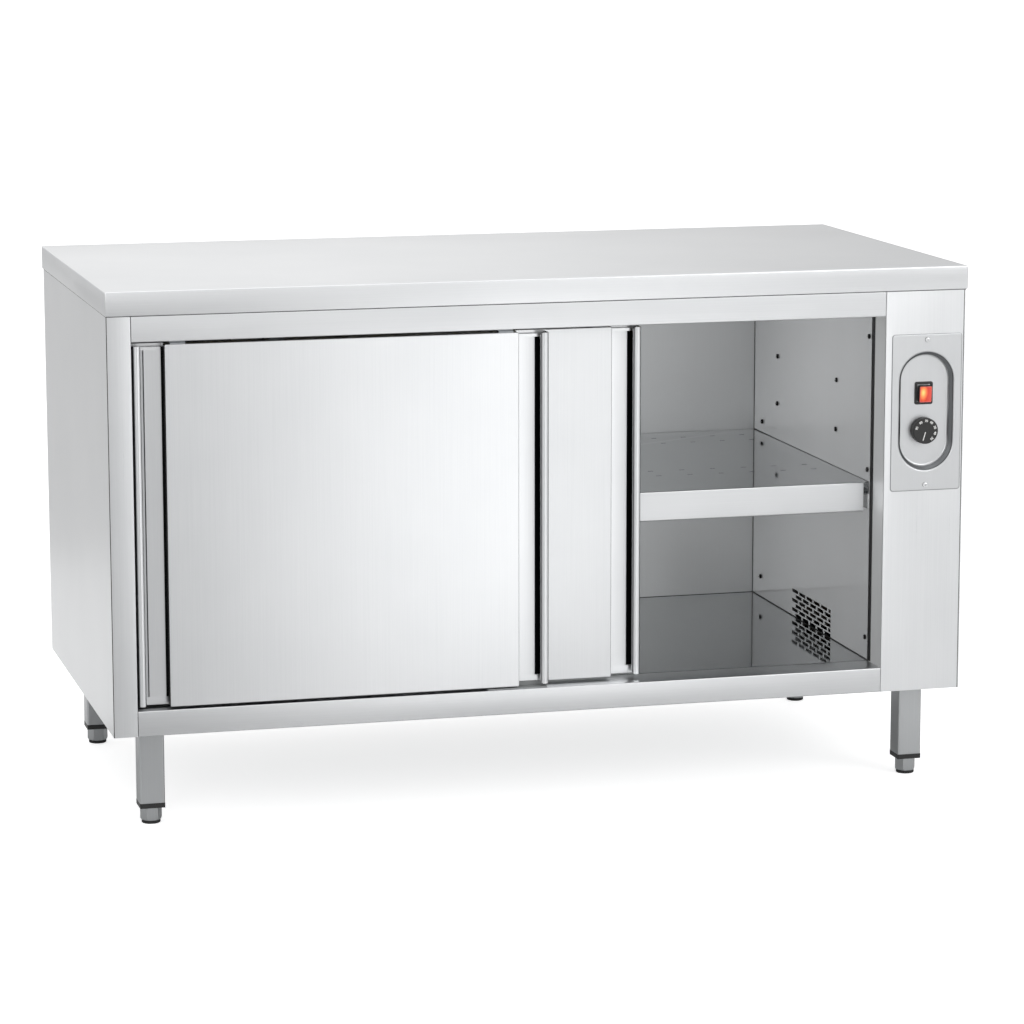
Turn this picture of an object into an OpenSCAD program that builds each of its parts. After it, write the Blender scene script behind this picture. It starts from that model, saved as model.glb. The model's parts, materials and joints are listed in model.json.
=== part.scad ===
// Heated plate warmer cabinet in stainless steel sheet: a worktop on a double-walled carcass,
// two sliding doors hung from a twin track, one loose shelf, and a heater compartment
// behind the control column. Millimetres. The origin is on the floor, at the middle of the
// footprint: +X to the right, the front faces -Y, +Z up.

/* [Overall] */
// Width of the worktop
top_w = 1400; // [1300:10:1700]
// Depth of the worktop, front to back
top_d = 700; // [680:5:800]
// Height of the worktop above the floor
total_h = 850; // [830:5:950]

/* [Worktop] */
// Height of the folded edge
top_edge_h = 38; // [32:1:50]
// Sheet thickness of the worktop
top_sheet = 1.5; // [1:0.1:2]
// Bend radius along the edge and round the corners
top_bend = 3; // [2.5:0.5:5]
// Width of the lip folded inward under the edge
top_lip = 12; // [8:1:20]
// Height of the hat-shaped stiffeners under the worktop
stiffener_h = 24; // [15:1:28]
// How far the worktop stands out beyond the sides
side_overhang = 2; // [0.5:0.5:6]
// How far the worktop stands out at the front and the back
front_overhang = 4; // [1:0.5:8]

/* [Carcass] */
// Sheet thickness of the outer panels
sheet = 1.2; // [0.8:0.1:1.5]
// Free height under the carcass
leg_room = 154; // [130:2:180]
// Height of the rail under the doors
bottom_rail_h = 40; // [36:1:50]
// Height of the rail above the doors
top_rail_h = 41; // [40:0.5:50]
// Width of the left stile
stile_w = 38; // [34:1:50]
// Width of the control column
column_w = 136; // [130:1:160]
// Depth of the returns folded back beside the doors
jamb_d = 60; // [59.5:0.5:66]
// Width of the flanges that join the outer panels
flange_w = 18; // [12:1:22]
// Height of the bottom panel above the carcass's lower edge
bottom_lift = 12; // [8:1:16]

/* [Lining] */
// Sheet thickness of the lining
liner_sheet = 1; // [0.6:0.1:1.2]
// Gap between the jambs and the lining
liner_gap = 3; // [1:0.5:5]
// Distance from the lining's back wall to the outside of the back
back_wall = 28; // [20:1:45]
// Width of the gap between the floor and the right wall
floor_gap = 2; // [1:0.5:4]
// Width of the lining's flanges
liner_flange = 15; // [10:1:20]
// Thickness of the insulation over the lining
roof_wool = 26; // [15:1:30]

/* [Air grille] */
// Length of a slot
slot_l = 31; // [20:1:40]
// Height of a slot
slot_h = 6; // [4:0.5:8]
// Bridge between slots in a row
slot_bridge = 6.6; // [4:0.2:10]
// Bridge between rows
row_bridge = 2.3; // [1.5:0.1:4]
// Number of rows
slot_rows = 6; // [3:1:7]
// Full slots in a row
slot_count = 5; // [3:1:6]
// Distance from the middle of the cabinet back to the grille's middle
grille_back = -1; // [-20:1:20]

/* [Shelf] */
// Height of the shelf above the middle of the opening
shelf_lift = 8.5; // [-40:0.5:60]
// Height of the shelf's front edge
shelf_front_h = 48; // [30:1:60]
// Height of the shelf's other flanges
shelf_flange_h = 20; // [15:1:26]
// How far the front edge stops short of the side walls
shelf_notch = 9; // [4:1:15]
// Gap all round the shelf
shelf_gap = 1; // [0.5:0.5:2]
// Pitch of the small slots in the shelf
shelf_pitch = 54; // [40:2:80]
// Length of a small slot in the shelf
shelf_slot_l = 9; // [5:1:15]
// Width of a small slot in the shelf
shelf_slot_w = 3; // [2:0.5:5]

/* [Doors] */
// Overlap of the two doors when both are shut
door_overlap = 103; // [80:1:120]
// Thickness of a door
door_t = 25; // [24:0.5:26]
// Distance from one door's face to the next door's face
door_pitch = 30; // [28:0.5:31]
// How far the front door lies behind the frame's face
door_setback = 3; // [2:0.5:3]
// Gap between a closed door and the stile or the column
door_side_gap = 2.5; // [2:0.5:5]
// Gap under a door
door_bottom_gap = 4; // [3:0.5:6]
// Gap between a door and the lower edge of the top rail
door_top_gap = 5; // [3:0.5:7]
// Sheet thickness of the doors
door_sheet = 1; // [0.8:0.1:1.2]
// How far the rear door stands open
rear_door_open = 399; // [10:1:550]

/* [Door grips] */
// Width of the grip at each end of a door
grip_w = 49.5; // [44:0.5:60]
// Depth of the recessed strip
grip_depth = 17.5; // [15:0.5:18]
// Width of the finger pocket under the lip, measured from the door's end
pocket_w = 19; // [16:0.5:24]
// Radius of the rolled lip
lip_r = 6.5; // [5:0.5:7]
// Length of the lip's end that hooks back behind the roll
lip_hook = 3; // [1:0.5:5]
// Distance from the door's ends to the ends of the lip
lip_end = 2; // [1:0.5:4]
// Distance from the door's ends to the ends of the recessed strip
strip_end = 5; // [3:0.5:8]
// Corner radius at the ends of the lip
lip_corner = 4; // [2:0.5:5]

/* [Track and rollers] */
// Height of the rails above the lower edge of the top rail
rail_lift = 10; // [9:0.5:11]
// Radius of the bead that the rollers run on
bead_r = 1.5; // [1:0.1:1.8]
// Outer radius of a roller
roller_r = 11; // [9:0.5:11]
// Width of a roller
roller_w = 8; // [6:0.5:8]
// Depth of the groove in a roller
roller_groove = 1.5; // [1:0.1:2]
// Diameter of the pin that carries a roller
pin_d = 5; // [4:0.5:6]
// Thickness of a hanger
hanger_t = 2.5; // [2:0.5:3]
// Width of a hanger
hanger_w = 24; // [18:1:30]
// Distance from a door's end to the middle of its hanger
hanger_inset = 70; // [60:1:120]
// Running clearance round a shaft or pin
run_clear = 0.05; // [0.03:0.01:0.08]
// Gap that keeps moving pieces clear of each other
free_gap = 0.3; // [0.3:0.05:0.5]

/* [Bottom guide] */
// How much shorter a guide fin is than the overlap of the doors
fin_short = 15; // [12:1:40]
// How far the guide's base stands out beyond its fins
guide_foot = 4.5; // [2:0.5:8]
// Thickness of a guide fin
fin_t = 3; // [2:0.2:3.4]
// Height of a guide fin above its base
fin_h = 14.5; // [10:0.5:16]
// Thickness of the guide's base
guide_base = 1.5; // [1:0.1:2]

/* [Control panel] */
// Middle of the control panel, measured from the worktop's right edge
panel_inset = 67; // [66:0.5:70]
// Distance from the worktop down to the control panel's middle
panel_drop = 237; // [190:1:280]
// Width of the plate
plate_w = 120; // [112:1:122]
// Height of the plate
plate_h = 256; // [250:1:280]
// Width of the pressed recess at its rim
recess_w = 92; // [90:1:96]
// Height of the pressed recess at its rim
recess_h = 192; // [186:1:200]
// Height of the recess's middle above the middle of the panel
recess_up = 2; // [0:0.5:4]
// Depth of the pressed recess
recess_d = 14; // [12:0.5:16]
// Slope of the recess's wall
recess_draft = 25; // [10:1:30]
// Bend radius at the rim of the recess
rim_bend = 3; // [2:0.5:4]
// Bend radius at the floor of the recess
floor_bend = 4; // [3:0.5:5]
// Distance between the two plate screws
plate_screw_span = 237; // [228:1:244]
// Height of the switch above the middle of the panel
switch_up = 30; // [26:1:36]
// Height of the knob below the middle of the panel
knob_down = 30.5; // [26:0.5:36]

/* [Switch and knob] */
// Width of the switch frame
bezel_w = 31; // [28:0.5:34]
// Height of the switch frame
bezel_h = 37; // [35:0.5:40]
// Thickness of the switch frame
bezel_t = 2; // [1.5:0.5:3]
// Width of the rocker's cap
rocker_w = 22; // [18:0.5:24]
// Height of the rocker's cap
rocker_h = 27.6; // [24:0.2:28]
// How far the rocker's cap stands out
rocker_out = 7.5; // [4:0.5:9]
// Swing of the rocker each way from its middle
rocker_tilt = 5; // [3:0.5:6]
// Diameter of the knob
knob_d = 43; // [36:0.5:48]
// Height of the knob
knob_h = 13; // [10:0.5:16]
// Diameter of the thermostat's spindle
spindle_d = 6; // [5:0.5:7]

/* [Legs and feet] */
// Side of a square leg
leg_side = 40; // [36:1:44]
// Wall of a leg
leg_wall = 1.5; // [1:0.1:2]
// Distance from the carcass's outside to a leg
leg_inset = 46; // [36:1:60]
// Height of the foot and its insert below the leg tube
leg_end_z = 34.5; // [32:0.5:40]
// Thickness of the black sole
sole_h = 5.5; // [4:0.5:7]
// Height of a foot's hexagon
hex_h = 21; // [18:0.5:24]
// Size of a foot's hexagon across its flats
hex_af = 30; // [26:1:34]
// Diameter of a foot's spindle
foot_spindle_d = 10; // [8:1:12]
// How far a foot screws out
foot_travel = 45; // [20:5:45]

/* [Fan and heater] */
// Diameter of the fan's rotor
rotor_d = 60; // [50:1:64]
// Length of the fan's rotor
rotor_l = 200; // [150:5:205]
// Number of blades
blade_count = 20; // [12:1:24]
// Distance from the worktop down to the fan's axis
fan_drop = 254; // [245:1:265]
// Distance from the right wall to the fan's axis
fan_x_off = 52; // [50:1:58]
// Distance between the fan's fixing screws, front to back
fan_screw_span = 305; // [295:1:320]
// Distance between the fan's fixing screws, in height
fan_screw_rise = 83; // [70:1:90]
// Diameter of the heater's tube
heater_d = 8.5; // [6:0.5:10]
// Diameter of the heater's fins
heater_fin_d = 25; // [18:0.5:26]
// Spacing of the heater's fins
heater_fin_pitch = 8; // [6:0.5:12]

/* [Cable entry] */
// Bore of the cable gland
gland_bore_d = 10; // [7:0.5:12]
// Distance from the air duct's end to the gland
gland_back = 45; // [42:1:56]

/* [Fasteners] */
// Diameter of the screws' shanks
screw_d = 4; // [3:0.5:5]
// Diameter of the screws' heads
screw_head_d = 8; // [7:0.5:9]
// Height of the screws' heads
screw_head_h = 2.2; // [1.5:0.1:3]

/* [Hidden] */

// Outside of the carcass
body_x = top_w / 2 - side_overhang;
body_y = top_d / 2 - front_overhang;
body_top = total_h - top_edge_h;
bottom_z = leg_room + bottom_lift;
bottom_top = bottom_z + sheet;

// Door opening
open_l = -body_x + stile_w;
open_r = body_x - column_w;
open_b = leg_room + bottom_rail_h;
open_t = body_top - top_rail_h;
open_mid = (open_l + open_r) / 2;
shelf_z = (open_b + open_t) / 2 + shelf_lift;
jamb_back = -body_y + jamb_d;
return_w = 22;

// Inside of the lining
in_front = jamb_back + liner_gap;
in_back = body_y - back_wall;
in_top = open_t + liner_sheet;

// Doors
door_z = open_b + door_bottom_gap;
door_h = open_t - door_top_gap - door_z;
front_door_y = -body_y + door_setback;
rear_door_y = front_door_y + door_pitch;
door_w = (open_r - open_l - 2 * door_side_gap + door_overlap) / 2;
front_door_x = open_l + door_side_gap;
rear_door_x = open_r - rear_door_open - door_w;

// Track: places are measured back from a door's face
rail_z = open_t + rail_lift;
web_z = body_top - 2 * sheet;
hanger_y = 8;
roller_y = hanger_y + hanger_t + 0.5;
rail_y = hanger_y + hanger_t + 1;
lane_wall_y = roller_y + roller_w + 2;
bead_y = roller_y + roller_w / 2;
run_r = roller_r - roller_groove;
axle_z = rail_z + bead_r + free_gap + run_r;

// Finger grip: the back layer of a door leaves room for the guide fin
strip_back = grip_depth + door_sheet;
fin_slot_top = guide_base + fin_h - door_bottom_gap + 2;
pocket_end = fin_slot_top + 2;
fin_y = (strip_back + door_t - door_sheet) / 2 - fin_t / 2;
fin_l = door_overlap - fin_short;
guide_l = fin_l + 2 * guide_foot;

// Control panel
panel_x = top_w / 2 - panel_inset;
panel_z = total_h - panel_drop;
plate_y = -body_y - sheet;
floor_y = plate_y + recess_d;
switch_z = panel_z + switch_up;
knob_z = panel_z - knob_down;
slot_clear = 0.4;
rocker_pivot = 3;
rocker_neck_r = 10.8;
rocker_neck_w = 18;

// Thermostat
stat_w = 36;
stat_h = 40;
stat_d = 26;
bushing_d = 10;
bushing_l = 7;
knob_gap = 1;

// Legs
leg_x = body_x - leg_inset - leg_side / 2;
leg_y = body_y - leg_inset - leg_side / 2;
insert_z = sole_h + hex_h + free_gap;
leg_plate_t = 3;
leg_plate_w = 80;
plug_h = 28;
spindle_hold = 19;
spindle_h = foot_travel + spindle_hold;
leg_signs = [[-1, -1], [1, -1], [-1, 1], [1, 1]];

// Grille and the screws of the right wall
slot_pitch = slot_l + slot_bridge;
row_pitch = slot_h + row_bridge;
grille_y = grille_back;
grille_l = (slot_count + 0.5) * slot_pitch - slot_bridge;
grille_top = open_b + slot_rows * row_pitch - 1.5;
post_front_y = in_front + 11;
post_back_y = in_back - 48;
post_w = 20;
post_d = 15;
wall_screw_z = [open_b + 37, shelf_z + 19.5, open_t - 41];

// Fan
fan_x = open_r + fan_x_off;
fan_z = total_h - fan_drop;
fan_y = grille_y + 37;
fan_y0 = fan_y - fan_screw_span / 2;
fan_y1 = fan_y + fan_screw_span / 2;
rotor_y0 = fan_y0 + 19;
rotor_y1 = rotor_y0 + rotor_l;
end_plate = 1.5;
end_gap = 2;
shaft_d = 6;
scroll_r0 = rotor_d / 2 + 4;
scroll_r1 = rotor_d / 2 + 15;
fan_flange_h = fan_screw_rise / 2 + 10;
outlet_z = fan_z - fan_flange_h - 1;
duct_x = fan_x + scroll_r1;
duct_bend = 30;
heater_x = open_r + 27;
heater_z = open_b + 10;
heater_rise = 28;
heater_y0 = rotor_y0 + heater_rise / 2 + heater_d / 2 + 1;
heater_y1 = rotor_y1 - 14;

// Cable gland and the air slots beside it
gland_x = body_x - 60;
gland_y = rotor_y1 + end_gap + gland_back;
gland_thread_d = gland_bore_d + 6;
vent_y = grille_y - 60;
vent_pitch = 16;
vent_w = 5;

// Colours
steel = "silver";
inner_steel = "darkgray";
dark_plastic = "#2b2b2b";
nylon = "whitesmoke";
wool = "khaki";

// Helper shapes

module block(a, b) {
    translate(a) cube(b - a);
}

function arc(c, r, a0, a1, n = 8) =
    [for (i = [0:n]) let (t = a0 + (a1 - a0) * i / n) c + r * [cos(t), sin(t)]];

function reverse(v) = [for (i = [len(v) - 1:-1:0]) v[i]];

// Sweeps a profile round a rectangle with round corners; the profile's x points outward
module around(w, d, r) {
    for (k = [0:3]) {
        run = (k % 2 == 0 ? w : d) / 2 - r;
        off = (k % 2 == 0 ? d : w) / 2 - r;
        rotate(90 * k) {
            translate([run, -off, 0]) rotate([90, 0, -90]) linear_extrude(2 * run) children();
            translate([-run, -off, 0]) rotate(180) rotate_extrude(angle = 90, $fn = 48) children();
        }
    }
}

// Rectangle with round corners, middle at the origin
module round_rect(w, h, r) {
    square([w - 2 * r, h], center = true);
    square([w, h - 2 * r], center = true);
    for (sx = [-1, 1], sy = [-1, 1])
        translate([sx * (w / 2 - r), sy * (h / 2 - r)]) circle(r, $fn = 32);
}

// Extrudes a front view, drawn in X and Z, backward from y0 to y1
module front_view(y0, y1) {
    translate([0, y1, 0]) rotate([90, 0, 0]) linear_extrude(y1 - y0) children();
}

// Extrudes a side view, drawn in Y and Z, from x0 to x1
module side_view(x0, x1) {
    translate([x0, 0, 0]) rotate([90, 0, 90]) linear_extrude(x1 - x0) children();
}

// Cylinder along Y from y0 to y1
module rod_y(x, z, d, y0, y1, fn = 32) {
    translate([x, y1, z]) rotate([90, 0, 0]) cylinder(h = y1 - y0, d = d, $fn = fn);
}

// Cylinder along X from x0 to x1
module rod_x(y, z, d, x0, x1) {
    translate([x0, y, z]) rotate([0, 90, 0]) cylinder(h = x1 - x0, d = d, $fn = 32);
}

// Turns a part modelled for the left side into the one for the right side
module on_side(s) {
    if (s < 0) children();
    else mirror([1, 0, 0]) children();
}

// Worktop

module edge_profile() {
    translate([0, total_h - top_bend]) intersection() {
        difference() {
            circle(top_bend, $fn = 48);
            circle(top_bend - top_sheet, $fn = 48);
        }
        square(top_bend);
    }
    translate([top_bend - top_sheet, total_h - top_edge_h])
        square([top_sheet, top_edge_h - top_bend]);
}

module worktop() {
    hx = top_w / 2;
    hy = top_d / 2;
    lip_z = total_h - top_edge_h;
    color(steel) {
        block([-hx + top_bend, -hy + top_bend, total_h - top_sheet],
              [hx - top_bend, hy - top_bend, total_h]);
        around(top_w, top_d, top_bend) edge_profile();
        difference() {
            block([-hx + top_sheet, -hy + top_sheet, lip_z],
                  [hx - top_sheet, hy - top_sheet, lip_z + top_sheet]);
            block([-hx + top_sheet + top_lip, -hy + top_sheet + top_lip, lip_z - 1],
                  [hx - top_sheet - top_lip, hy - top_sheet - top_lip, lip_z + 2 * top_sheet]);
        }
    }
}

// Hat profile, brim up against the underside of the worktop
module hat_profile(w, h, brim, t) {
    difference() {
        union() {
            translate([-w / 2, -h]) square([w, h]);
            translate([-w / 2 - brim, -t]) square([w + 2 * brim, t]);
        }
        translate([-w / 2 + t, -h + t]) square([w - 2 * t, h]);
    }
}

module worktop_stiffeners() {
    hat_w = 60;
    brim = 18;
    rows = [-1, 0, 1] * top_d / 3.6;
    color(inner_steel) for (y = rows)
        translate([0, y, total_h - top_sheet])
            side_view(-top_w / 2 + 60, top_w / 2 - 60) hat_profile(hat_w, stiffener_h, brim, sheet);
}

// Carcass

module side_panel(s) {
    x0 = -body_x;
    y0 = -body_y + 2 * sheet;
    color(steel) on_side(s) {
        block([x0, y0, leg_room], [x0 + sheet, body_y, body_top]);
        block([x0, y0, body_top - sheet], [x0 + flange_w, body_y - sheet, body_top]);
        block([x0, y0, leg_room], [x0 + flange_w, body_y - sheet, leg_room + sheet]);
        block([x0, body_y - 2 * sheet, leg_room], [x0 + flange_w, body_y - sheet, body_top]);
    }
}

module side_panel_left() {
    side_panel(-1);
}

module side_panel_right() {
    side_panel(1);
}

module back_panel() {
    x0 = -body_x + sheet;
    xf = -body_x + flange_w + 1;
    y0 = body_y - sheet;
    color(steel) {
        block([x0, y0, leg_room], [-x0, body_y, body_top]);
        block([xf, y0 - flange_w, body_top - sheet], [-xf, y0, body_top]);
        block([xf, y0 - flange_w, leg_room], [-xf, y0, leg_room + sheet]);
    }
}

// Ventilation slots and the gland's hole lie under the heater compartment
module bottom_panel() {
    x0 = -body_x + sheet;
    y0 = -body_y + return_w + 2 * sheet;
    y1 = body_y - 2 * sheet;
    color(inner_steel) difference() {
        union() {
            block([x0, y0, bottom_z], [-x0, y1, bottom_top]);
            for (x = [x0, -x0 - sheet])
                block([x, y0, leg_room + sheet], [x + sheet, y1, bottom_z]);
            block([x0, y0, leg_room + sheet], [-x0, y0 + sheet, bottom_z]);
            block([x0, y1 - sheet, leg_room + sheet], [-x0, y1, bottom_z]);
        }
        translate([gland_x, gland_y, bottom_z - 1]) cylinder(h = 4, d = gland_thread_d + 0.3, $fn = 48);
        for (k = [0:7])
            block([duct_x + 6, vent_y + vent_pitch * k, bottom_z - 1],
                  [duct_x + 30, vent_y + vent_pitch * k + vent_w, bottom_top + 1]);
    }
}

// Stile or column: a face, a jamb folded back beside the opening and a return at the side
module upright(w) {
    y0 = -body_y + sheet;
    z0 = bottom_top + 0.8;
    z1 = body_top - sheet;
    x0 = -body_x;
    xj = x0 + w;
    block([x0, -body_y, leg_room], [xj, y0, body_top]);
    block([xj - sheet, y0, z0], [xj, jamb_back, z1]);
    block([xj - liner_flange, jamb_back - sheet, z0], [xj - sheet, jamb_back, z1]);
    block([x0 + sheet, y0, z0], [x0 + 2 * sheet, y0 + return_w, z1]);
}

module left_stile() {
    color(steel) upright(stile_w);
}

module control_column() {
    color(steel) difference() {
        mirror([1, 0, 0]) upright(column_w);
        front_view(-body_y - 1, -body_y + sheet + 1)
            translate([panel_x, panel_z + recess_up])
                stadium(recess_w / 2 + rim_bend, recess_h + 2 * rim_bend);
        for (s = [-1, 1])
            rod_y(panel_x, panel_z + s * plate_screw_span / 2, screw_d, -body_y - 1, -body_y + 3);
    }
}

module top_rail() {
    y0 = -body_y + sheet;
    color(steel) {
        block([open_l, -body_y, open_t], [open_r, y0, body_top]);
        block([open_l, y0, body_top - sheet], [open_r, jamb_back, body_top]);
        block([open_l, y0, open_t], [open_r, y0 + 6.5, open_t + sheet]);
    }
}

module bottom_rail() {
    y0 = -body_y + sheet;
    y1 = in_front - 1;
    ye = -leg_y - leg_side / 2 - 7;
    color(steel) {
        block([open_l, -body_y, leg_room], [open_r, y0, open_b]);
        block([open_l, y0, open_b - sheet], [open_r, y1, open_b]);
        block([open_l, y1 - sheet, bottom_top + 5], [open_r, y1, open_b]);
        block([open_l, y0, leg_room], [open_r, ye, leg_room + sheet]);
    }
}

// Lining

module liner_left() {
    t = liner_sheet;
    x = open_l - t;
    color(inner_steel) {
        block([x, in_front, bottom_top], [open_l, in_back, in_top]);
        block([x - liner_flange, in_front, open_t], [x, in_back, in_top]);
        block([x - liner_flange, in_front, bottom_top + 1], [x, in_front + t, open_t]);
    }
}

// Brick pattern of slots, low in the wall, in front of the heater
module grille_cut(x0, x1) {
    for (r = [0:slot_rows - 1]) {
        z = grille_top - r * row_pitch;
        shift = r % 2 == 0 ? 0 : slot_pitch / 2;
        y_end = grille_y + grille_l / 2;
        for (k = [0:slot_count - 1])
            block([x0, y_end - shift - k * slot_pitch - slot_l, z - slot_h],
                  [x1, y_end - shift - k * slot_pitch, z]);
        y_half = y_end - slot_count * slot_pitch;
        if (shift == 0)
            block([x0, y_half - slot_l / 2 + slot_bridge / 2, z - slot_h], [x1, y_half, z]);
    }
}

// Places of the screws in the right wall, as y and z
function wall_screws() = concat(
    [for (z = wall_screw_z) [post_front_y, z]],
    [for (z = wall_screw_z) [post_back_y, z]],
    fan_screws());

function fan_screws() = [for (y = [fan_y0, fan_y1], s = [-1, 1]) [y, fan_z + s * fan_screw_rise / 2]];

module liner_right() {
    t = liner_sheet;
    x = open_r;
    color(inner_steel) difference() {
        union() {
            block([x, in_front, bottom_top], [x + t, in_back, in_top]);
            block([x + t, in_front, open_t], [x + t + liner_flange, in_back, in_top]);
            block([x + t, in_front, bottom_top + 1], [x + t + liner_flange, in_front + t, open_t]);
        }
        grille_cut(x - 1, x + t + 1);
        for (p = wall_screws())
            rod_x(p[0], p[1], screw_d, x - 1, x + t + 1);
    }
}

module liner_back() {
    color(inner_steel)
        block([open_l - liner_sheet, in_back, bottom_top],
              [open_r + liner_sheet, in_back + liner_sheet, in_top]);
}

// Floor pan: a tray turned over, with a narrow gap along the heater wall
module liner_floor() {
    t = liner_sheet;
    x1 = open_r - floor_gap;
    gap_front = 12;
    gap_rear = 70;
    color(inner_steel) {
        block([open_l, in_front, open_b - t], [x1, in_back, open_b]);
        for (x = [open_l, x1 - t])
            block([x, in_front, bottom_top], [x + t, in_back, open_b - t]);
        for (y = [in_front, in_back - t])
            block([open_l, y, bottom_top], [x1, y + t, open_b - t]);
        block([x1, in_front, open_b - t], [open_r, in_front + gap_front, open_b]);
        block([x1, in_back - gap_rear, open_b - t], [open_r, in_back, open_b]);
    }
}

module liner_ceiling() {
    t = liner_sheet;
    color(inner_steel)
        block([open_l - t, in_front, in_top], [open_r + t, in_back + t, in_top + t]);
}

module insulation() {
    g = 0.3;
    t = liner_sheet;
    wall_x = -body_x + sheet + g;
    back_y = body_y - 2 * sheet - g;
    color(wool) {
        block([wall_x, in_front + t + g, bottom_top + g], [open_l - t - g, back_y, open_t - g]);
        block([open_l - t, in_back + t + g, bottom_top + g], [open_r + t, back_y, open_t - g]);
        block([open_l - t, in_front + g, in_top + t + g], [open_r + t, back_y, in_top + t + g + roof_wool]);
    }
}

// Upright channels that the heater wall is screwed to
module inner_posts() {
    x0 = open_r + liner_sheet;
    color(inner_steel) difference() {
        for (y = [post_front_y, post_back_y])
            difference() {
                block([x0, y - post_w / 2, bottom_top + 2], [x0 + post_d, y + post_w / 2, open_t - 1]);
                block([x0 + sheet, y - post_w / 2 + sheet, bottom_top],
                      [x0 + post_d + 1, y + post_w / 2 - sheet, open_t]);
            }
        for (p = wall_screws())
            rod_x(p[0], p[1], screw_d, x0 - 1, x0 + sheet + 1);
    }
}

// Shelf

module shelf() {
    x0 = open_l + shelf_gap;
    x1 = open_r - shelf_gap;
    y0 = in_front + 3;
    y1 = in_back - shelf_gap / 2;
    z1 = shelf_z - sheet;
    zf = shelf_z - shelf_flange_h;
    zb = shelf_z - shelf_front_h;
    cols = floor((x1 - x0 - 60) / shelf_pitch);
    shelf_rows = [-0.25, -0.17, 0.3, 0.395];
    color(inner_steel) difference() {
        union() {
            block([x0, y0, z1], [x1, y1, shelf_z]);
            for (x = [x0, x1 - sheet])
                block([x, y0, zf], [x + sheet, y1, z1]);
            block([x0, y1 - sheet, zf], [x1, y1, z1]);
            block([x0 + shelf_notch, y0, zb], [x1 - shelf_notch, y0 + sheet, z1]);
            block([x0 + shelf_notch, y0, zb], [x1 - shelf_notch, y0 + 12, zb + sheet]);
        }
        for (y = shelf_rows * (y1 - y0), k = [0:cols])
            translate([(x0 + x1) / 2 + (k - cols / 2) * shelf_pitch, (y0 + y1) / 2 + y, z1 - 1])
                linear_extrude(sheet + 2) square([shelf_slot_l, shelf_slot_w], center = true);
    }
}

// Angles on the side walls and the back wall that the shelf rests on
module shelf_supports() {
    z1 = shelf_z - shelf_flange_h;
    y0 = in_front + 7;
    y1 = in_back - 8;
    leg = 20;
    drop = 25;
    color(inner_steel) {
        block([open_l, y0, z1 - drop], [open_l + sheet, y1, z1]);
        block([open_l, y0, z1 - sheet], [open_l + leg, y1, z1]);
        block([open_r - sheet, y0, z1 - drop], [open_r, y1, z1]);
        block([open_r - leg, y0, z1 - sheet], [open_r, y1, z1]);
        block([open_l + 30, in_back - sheet, z1 - drop], [open_r - 30, in_back, z1]);
        block([open_l + 30, in_back - leg, z1 - sheet], [open_r - 30, in_back, z1]);
    }
}

// Track, guide and doors

// One lane of the track, as a side view: wall, rail and the bead that the rollers run on
module lane_profile(face_y) {
    t = sheet;
    translate([face_y + lane_wall_y, rail_z - t]) square([t, web_z - rail_z + t]);
    translate([face_y + rail_y, rail_z - t]) square([lane_wall_y - rail_y + t, t]);
    translate([face_y + bead_y, rail_z]) intersection() {
        circle(bead_r, $fn = 32);
        translate([-bead_r, -0.5]) square([2 * bead_r, bead_r + 1]);
    }
}

module door_track() {
    color(inner_steel) side_view(open_l + 1, open_r - 1) {
        translate([-body_y + sheet, web_z]) square([jamb_d - sheet - 1, sheet]);
        lane_profile(front_door_y);
        lane_profile(rear_door_y);
    }
}

module bottom_guide() {
    color(dark_plastic) {
        block([open_mid - guide_l / 2, front_door_y + 2, open_b],
              [open_mid + guide_l / 2, rear_door_y + door_t - 2, open_b + guide_base]);
        for (y = [front_door_y, rear_door_y] + [fin_y, fin_y])
            translate([open_mid, y + fin_t / 2, open_b + guide_base])
                linear_extrude(fin_h) round_rect(fin_l, fin_t, fin_t / 2 - 0.05);
    }
}

// Face tray of a door, with the channel for the guide fin folded into its lower edge
module door_face(x0, face_y) {
    t = door_sheet;
    z1 = door_z + door_h;
    y1 = face_y + door_t - t;
    xa = x0 + grip_w;
    xb = x0 + door_w - grip_w;
    ys = face_y + strip_back;
    zs = door_z + fin_slot_top;
    color(steel) {
        block([xa, face_y, door_z], [xb, face_y + t, z1]);
        block([xa, face_y, z1 - t], [xb, y1, z1]);
        block([xa, face_y, door_z], [xb, ys, door_z + t]);
        block([xa, ys - t, door_z], [xb, ys, zs + t]);
        block([xa, ys - t, zs], [xb, y1, zs + t]);
        for (x = [xa, xb - t]) {
            block([x, face_y, door_z], [x + t, ys, z1]);
            block([x, face_y, zs], [x + t, y1, z1]);
        }
    }
}

module door_back(x0, face_y) {
    color(inner_steel)
        block([x0, face_y + door_t - door_sheet, door_z],
              [x0 + door_w, face_y + door_t, door_z + door_h]);
}

// Plan view of a grip: recessed strip, outer wall and the lip rolled forward and hooked back
module grip_plan() {
    t = door_sheet;
    translate([lip_r, lip_r]) intersection() {
        difference() {
            circle(lip_r, $fn = 64);
            circle(lip_r - t, $fn = 64);
        }
        translate([-lip_r, -lip_r]) square([2 * lip_r, lip_r]);
    }
    translate([0, lip_r]) square([t, door_t - t - lip_r]);
    translate([2 * lip_r - t, lip_r]) square([t, lip_hook]);
}

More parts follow.
